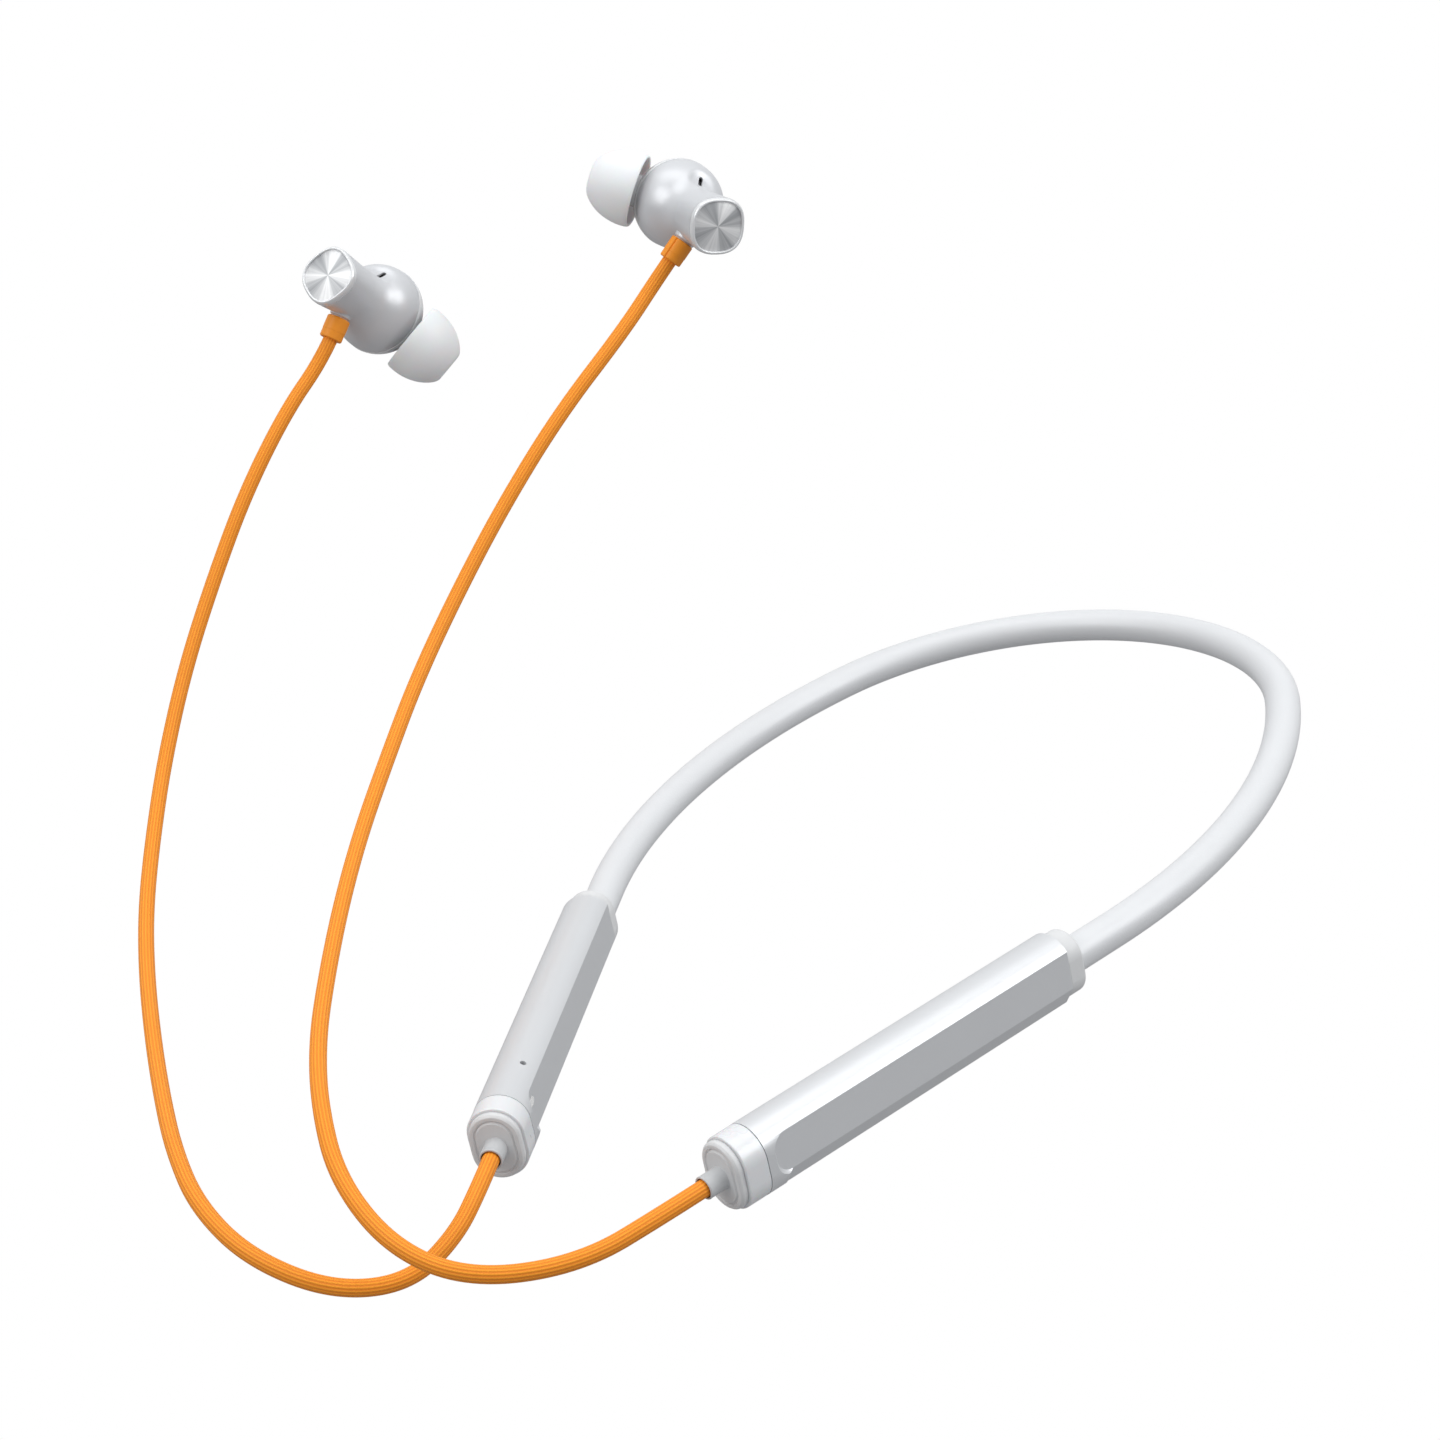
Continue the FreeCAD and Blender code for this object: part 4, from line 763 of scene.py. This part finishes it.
def makeGland(side, place):
    # a plain sleeve with a small fillet at its foot, and a thin near-black liner in its recess round the
    # cord, painted shade
    sizes = glandSizes
    seat = place @ Matrix.Translation((housingSizes["length"] + sizes["start"], 0, 0)) @ sideways
    bm = lathe(sizes["sleeve"], steps=sizes["steps"], arcSteps=sizes["arcSteps"])
    addPiece(bm, side + "CordGland", "neckband", "glandGrey", seat, [side + "_cord_gland"])
    # a thin near-black tube inside the sleeve: painted shade in the recess round the cord
    bm = lathe(sizes["bore"], steps=sizes["boreSteps"])
    addPiece(bm, side + "GlandBoreShadeLiner", "neckband", "paintedBoreShade", seat)


def makeBandCap(side, place):
    # a well rounded cap, and a low collar round the band where it goes in
    sizes = bandCapSizes
    bm = stadiumBar(sizes["halfWidth"], sizes["halfHeight"], sizes["start"], sizes["end"],
                    housingSizes["outerSteps"])
    addPiece(bm, side + "BandCap", "neckband", "capMatte", place, [side + "_band_cap"],
             bevel=sizes["edge"], bevelAngle=40, bevelSegments=5)
    bm = lathe(sizes["collar"], steps=sizes["steps"])
    bmesh.ops.scale(bm, verts=bm.verts, vec=sizes["collarShape"])
    seat = place @ Matrix.Translation((sizes["start"], 0, 0)) @ sideways.inverted()
    addPiece(bm, side + "BandCollar", "neckband", "capMatte", seat, bevel=sizes["collarEdge"])


for side in ("left", "right"):
    place = housingFrame(side)
    makeShell(side, place)
    makeRim(side, place)
    makeCordCap(side, place)
    makeGland(side, place)
    makeBandCap(side, place)
print("housings made")


# buttons, on the right housing's outer flat

buttonSizes = {"length": 6.8, "height": 2.5, "top": 3.7, "base": 2.16, "edge": 0.22, "markSink": 0.1,
               "markRise": 0.06, "markStep": 0.01, "markEdge": 0.03, "markSteps": 16}
buttonNames = {"volume_up_button": "volumeUpButtonCap", "call_button": "callButtonCap",
               "volume_down_button": "volumeDownButtonCap"}
# length, width and turn of each bar of a plus, a dot and a minus
buttonMarks = {"volume_up_button": [(1.3, 0.26, 0), (1.3, 0.26, 90)], "call_button": [(0.8, 0.78, 0)],
               "volume_down_button": [(1.3, 0.26, 0)]}


def makeButtons():
    sizes = buttonSizes
    place = housingFrame("right")
    for name, middle in buttonMiddles.items():
        bm = slotBar(sizes["length"], sizes["height"], sizes["top"] - sizes["base"],
                     Matrix.Translation((middle, -sizes["base"], 0)) @ outOfFlat)
        cap = addPiece(bm, buttonNames[name], name, "buttonSatin", place, [name],
                       bevel=sizes["edge"], bevelAngle=40)
        seat = Matrix.Translation((middle, -sizes["top"] + sizes["markSink"], 0)) @ outOfFlat
        for index, (length, width, turn) in enumerate(buttonMarks[name]):
            spot = seat @ Matrix.Rotation(math.radians(turn), 4, "Z")
            depth = sizes["markSink"] + sizes["markRise"] + sizes["markStep"] * index
            mark = slotBar(length, width, depth, spot, sizes["markSteps"])
            addPiece(mark, cap.name + "Mark%d" % index, name, "glandGrey", place, bevel=sizes["markEdge"])


makeButtons()
print("buttons made")


# earbuds

budSizes = {"ball": 7.1, "wall": 0.9, "seam": -0.8, "seamGap": 0.05, "rimStep": 0.12, "steps": 120,
            "waistRadius": 5.44, "waistPlace": 4.56, "blendEnd": 9, "blendRadius": 6.5, "neck": 4.2,
            "barrel": 4.5, "barrelEnd": 15, "barrelTaper": [(-0.12, 13.2), (-0.06, 14.4)],
            "ballSteps": 22, "frontSteps": 26}
squareSizes = {"power": 2.55, "turn": 34, "start": 9.5, "full": 14.0, "shrink": 0.985}
ventSizes = {"lean": 46, "turn": 16, "scoop": 0.6, "flat": 0.9, "reach": 2.6, "skin": 0.3, "above": 1,
             "slot": (2.3, 0.7, 3), "depth": 2.4}


def squareUp(bm, side):
    # rounds the barrel's end into a soft square, turned about the barrel
    sizes = squareSizes
    power = sizes["power"]
    turn = outwardSign[side] * math.radians(sizes["turn"])
    for vert in bm.verts:
        share = smoothRise(vert.co.z, sizes["start"], sizes["full"])
        reach = math.hypot(vert.co.x, vert.co.y)
        if share == 0 or reach < 0.01:
            continue
        angle = math.atan2(vert.co.y, vert.co.x) - turn
        cosine, sine = abs(math.cos(angle)), abs(math.sin(angle))
        grow = (cosine ** power + sine ** power) ** (-1 / power) * sizes["shrink"]
        grow = 1 + (grow - 1) * share
        vert.co.x *= grow
        vert.co.y *= grow


def arcCentre(start, end, radius):
    # the centre of an arc of this radius from start to end, on the outer side
    start, end = Vector(start), Vector(end)
    chord = end - start
    rise = math.sqrt(radius ** 2 - (chord.length / 2) ** 2)
    middle = (start + end) / 2 + Vector((chord.y, -chord.x)).normalized() * rise
    return middle.x, middle.y


def ventPlace(side, reach):
    lean, turn = math.radians(ventSizes["lean"]), math.radians(ventSizes["turn"])
    out = Vector((-math.sin(lean) * math.cos(turn), -outwardSign[side] * math.sin(lean) * math.sin(turn),
                  math.cos(lean)))
    stand = Vector((0, 0, 1)).rotation_difference(out).to_matrix().to_4x4()
    return Matrix.Translation(out * reach) @ stand


def makeRearShell(side, place):
    # the ball's back half, a saddle, and the barrel, with a scooped vent
    sizes, vent = budSizes, ventSizes
    ball, inner, seam = sizes["ball"], sizes["ball"] - sizes["wall"], sizes["seam"] + sizes["seamGap"]
    waist, blend = (sizes["waistRadius"], sizes["waistPlace"]), (sizes["neck"], sizes["blendEnd"])
    saddle = arcCentre(waist, blend, sizes["blendRadius"])
    bore = sizes["neck"] - sizes["wall"]
    taper = [(sizes["barrel"] + change, height) for change, height in sizes["barrelTaper"]]
    bm = lathe([(math.sqrt(ball ** 2 - seam ** 2), seam, 0, 0), (*waist, *saddle), blend, *taper,
                (sizes["barrel"], sizes["barrelEnd"]), (bore, sizes["barrelEnd"]),
                (bore, math.sqrt(inner ** 2 - bore ** 2), 0, 0),
                (math.sqrt(inner ** 2 - seam ** 2), seam)],
               steps=sizes["steps"], arcSteps=sizes["ballSteps"])
    spot = ventPlace(side, ball).translation
    for vert in bm.verts:
        if vert.co.length > inner + vent["skin"] and vert.co.z > vent["above"]:
            share = 1 - smoothRise((vert.co - spot).length, vent["flat"], vent["reach"])
            vert.co -= spot.normalized() * vent["scoop"] * share
    squareUp(bm, side)
    bm = carve(bm, [slotBar(*vent["slot"], ventPlace(side, ball - vent["depth"]))])
    addPiece(bm, side + "RearShell", "neckband", "budSatin", place, [side + "_rear_shell"])


nozzleSizes = {"profile": [(1.9, 6.2), (2.6, 6.2), (2.6, 11.7), (2.72, 11.8), (2.6, 12.2), (1.9, 12.2)],
               "steps": 64, "edge": 0.08}


def makeFrontShell(side, place):
    # the ball's front half, a touch wider at the seam, and the nozzle with its lip
    sizes = budSizes
    ball = sizes["ball"] + sizes["rimStep"]
    inner, seam = sizes["ball"] - sizes["wall"], sizes["seam"]
    rim = math.sqrt(ball ** 2 - seam ** 2)
    bm = lathe([(0, -ball, 0, 0), (rim - 0.01, seam - 0.12), (rim - 0.05, seam - 0.03), (rim - 0.14, seam),
                (math.sqrt(inner ** 2 - seam ** 2), seam, 0, 0), (0, -inner)],
               steps=sizes["steps"], arcSteps=sizes["frontSteps"])
    addPiece(bm, side + "FrontShell", "neckband", "rimGloss", place, [side + "_front_shell"])
    bm = lathe(nozzleSizes["profile"], steps=nozzleSizes["steps"])
    addPiece(bm, side + "Nozzle", "neckband", "rimGloss", nozzleFrame(side), bevel=nozzleSizes["edge"])


endSizes = {"bezel": [(3.2, 14.6), (4.36, 14.6), (4.46, 15.0), (4.46, 15.72), (4.3, 16.0, 4.16, 15.86),
                      (4.02, 15.92), (3.96, 15.62), (3.2, 15.62)], "bezelArcSteps": 4,
            "disc": [(0, 15.3), (3.98, 15.3), (3.98, 15.74), (3.88, 15.8), (0, 15.8)]}


def makeBarrelEnd(side, place):
    # a thin bright bezel round a disc of turned metal with a chamfered rim
    bm = lathe(endSizes["bezel"], steps=budSizes["steps"], arcSteps=endSizes["bezelArcSteps"])
    squareUp(bm, side)
    addPiece(bm, side + "BezelRing", "neckband", "bezelBright", place, [side + "_bezel_ring"])
    bm = lathe(endSizes["disc"], steps=budSizes["steps"])
    squareUp(bm, side)
    # the disc's material paints its highlights and shade into its colour
    finish = side + "SpunMetalPaintedHighlights"
    materials[finish] = makeSpunMaterial(finish, place)
    addPiece(bm, side + "EndDisc", "neckband", finish, place, [side + "_end_disc"])


tipSizes = {"skirt": [(5.38, 6.78), (5.66, 6.62), (5.92, 6.86), (6.02, 7.7), (5.98, 9.0)],
            "dome": [(5.72, 10.4), (5.2, 11.8), (4.42, 13.1), (3.5, 14.1), (2.7, 14.62)],
            "mouth": [(2.15, 14.7), (1.88, 14.35), (1.86, 13.6), (2.1, 12.5), (2.66, 12.3)],
            "sleeve": [(2.68, 7.6), (3.28, 7.5), (3.3, 12.0)],
            "inside": [(3.7, 12.5), (4.5, 11.5), (5.15, 10.0), (5.4, 8.4), (5.42, 7.3)], "steps": 64}


def makeTip(side, place):
    # a soft dome folded back over its own sleeve, with a thin skirt
    sizes = tipSizes
    profile = sizes["skirt"] + sizes["dome"] + sizes["mouth"] + sizes["sleeve"] + sizes["inside"]
    addPiece(lathe(profile, steps=sizes["steps"]), side + "EarTipDome", side + "_ear_tip", "tipSilicone",
             place, [side + "_ear_tip"], subdivide=1)


collarSizes = {"place": 8.6, "steps": 72, "grooveAngles": (60, -120), "grooveHalf": 3, "grooveFrom": 1.6,
               "grooveSink": 0.9, "padSteps": 64, "padEdge": 0.06,
               "profile": [(1.17, 4.75), (1.72, 4.75), (1.86, 4.9), (1.86, 7.0), (1.82, 7.05),
                           (1.82, 8.2), (1.68, 8.34), (1.17, 8.34)],
               "pad": [(0.6, 3.4), (1.75, 3.4), (1.72, 4.35), (1.6, 4.5), (1.45, 4.55), (1.4, 4.74),
                       (0.6, 4.74)]}


def makeCollar(side, place):
    # the collar's two halves meet in a fine groove, above a low pad on the barrel
    sizes = collarSizes
    seat = place @ Matrix.Translation((0, 0, sizes["place"])) @ sideways
    bm = lathe(sizes["profile"], steps=sizes["steps"])
    for vert in bm.verts:
        angle = math.degrees(math.atan2(vert.co.y, vert.co.x))
        off = min(abs(angle - groove) for groove in sizes["grooveAngles"])
        if off < sizes["grooveHalf"] and math.hypot(vert.co.x, vert.co.y) > sizes["grooveFrom"]:
            vert.co.x *= sizes["grooveSink"]
            vert.co.y *= sizes["grooveSink"]
    addPiece(bm, side + "CordCollar", "neckband", "collarOrange", seat, [side + "_cord_collar"])
    bm = lathe(sizes["pad"], steps=sizes["padSteps"])
    addPiece(bm, side + "CollarPad", "neckband", "budSatin", seat, bevel=sizes["padEdge"])


for side in ("left", "right"):
    place = budFrame(side)
    makeRearShell(side, place)
    makeFrontShell(side, place)
    makeBarrelEnd(side, place)
    makeTip(side, nozzleFrame(side))
    makeCollar(side, place)
print("earbuds made")


# finishes of the CAD pieces that stay as they are

nodeFinishes = {
    "memory_wire": "drawnSteel", "band_cable": "jacketBlack", "battery": "cellFoil",
    "protection_board": "boardGreen", "main_board": "boardGreen", "bluetooth_chip": "blackEpoxy",
    "board_components": "blackEpoxy", "antenna": "copperFilm", "usb_shell": "drawnSteel",
    "usb_tongue": "blackEpoxy", "tact_switches": "drawnSteel", "microphone": "drawnSteel",
    "microphone_mesh": "wovenWire", "light_guide": "lampResin", "led": "lampResin",
    "inner_frame": "frameMoulding", "snap_magnet": "magnetNickel", "driver_frame": "blackEpoxy",
    "driver_magnet": "magnetNickel", "driver_diaphragm": "filmAmber", "nozzle_mesh": "wovenWire",
    "vent_mesh": "wovenWire",
}
for name, node in frame["nodes"].items():
    key = name.split("_", 1)[1] if name.startswith(("left_", "right_")) else name
    finish = nodeFinishes.get(key)
    if finish:
        node.data.materials.clear()
        node.data.materials.append(materials[finish])
print("inner pieces finished")


# floor and light

studio = {"floor": -0.16, "floorSize": 6, "floorColour": (0.30, 0.30, 0.305, 1), "floorRoughness": 0.9,
          "floorSeen": 1.0, "sky": (0.97, 0.985, 1.0, 1), "above": 0.84, "below": 0.28, "dimFrom": -0.9,
          "aim": (-0.03, -0.09, 0)}
softboxes = {"topSoftbox": {"place": (0.0, -0.22, 0.75), "size": (1.0, 0.45), "power": 1.9},
             "frontSoftbox": {"place": (-0.3, -0.8, 0.35), "size": (0.45, 0.5), "power": 1.9},
             "sideSoftbox": {"place": (0.6, 0.0, 0.4), "size": (0.4, 0.4), "power": 1.7}}


def makeFloor():
    # the paper floor looks pale but throws little light back up
    bm = bmesh.new()
    bmesh.ops.create_grid(bm, x_segments=8, y_segments=8, size=studio["floorSize"])
    bmesh.ops.translate(bm, verts=bm.verts, vec=(0, 0, studio["floor"]))
    floor = toObject(bm, "studioFloor")
    material, shader = newMaterial("floorPaper", Roughness=studio["floorRoughness"])
    shader.inputs["Base Color"].default_value = studio["floorColour"]
    nodes, links = material.node_tree.nodes, material.node_tree.links
    paper = nodes.new("ShaderNodeEmission")
    paper.inputs["Strength"].default_value = studio["floorSeen"]
    path = nodes.new("ShaderNodeLightPath")
    both = nodes.new("ShaderNodeMixShader")
    links.new(path.outputs["Is Camera Ray"], both.inputs["Fac"])
    links.new(shader.outputs[0], both.inputs[1])
    links.new(paper.outputs[0], both.inputs[2])
    links.new(both.outputs[0], nodes["Material Output"].inputs["Surface"])
    floor.data.materials.append(material)


def makeSky():
    # bright above, dim below, and plain white behind the object
    world = bpy.context.scene.world or bpy.data.worlds.new("studio")
    bpy.context.scene.world = world
    world.use_nodes = True
    nodes, links = world.node_tree.nodes, world.node_tree.links
    sky = nodes["Background"]
    sky.inputs["Color"].default_value = studio["sky"]
    coord = nodes.new("ShaderNodeTexCoord")
    parts = nodes.new("ShaderNodeSeparateXYZ")
    level = nodes.new("ShaderNodeMapRange")
    level.interpolation_type = "SMOOTHSTEP"
    level.inputs["From Min"].default_value = studio["dimFrom"]
    level.inputs["To Min"].default_value = studio["below"]
    level.inputs["To Max"].default_value = studio["above"]
    white = nodes.new("ShaderNodeBackground")
    white.inputs["Color"].default_value = (1, 1, 1, 1)
    path = nodes.new("ShaderNodeLightPath")
    both = nodes.new("ShaderNodeMixShader")
    links.new(coord.outputs["Generated"], parts.inputs[0])
    links.new(parts.outputs["Z"], level.inputs["Value"])
    links.new(level.outputs[0], sky.inputs["Strength"])
    links.new(path.outputs["Is Camera Ray"], both.inputs["Fac"])
    links.new(sky.outputs[0], both.inputs[1])
    links.new(white.outputs[0], both.inputs[2])
    links.new(both.outputs[0], nodes["World Output"].inputs["Surface"])


def addSoftbox(name, place, size, power):
    data = bpy.data.lights.new(name, "AREA")
    data.shape = "RECTANGLE"
    data.size, data.size_y = size
    data.energy = power
    light = bpy.data.objects.new(name, data)
    light.location = place
    light.rotation_euler = (Vector(studio["aim"]) - Vector(place)).to_track_quat("-Z", "Y").to_euler()
    bpy.context.scene.collection.objects.link(light)


def makeStudio():
    makeFloor()
    makeSky()
    bpy.context.scene.view_settings.view_transform = "Standard"
    for name, settings in softboxes.items():
        addSoftbox(name, **settings)


makeStudio()
print("studio ready")
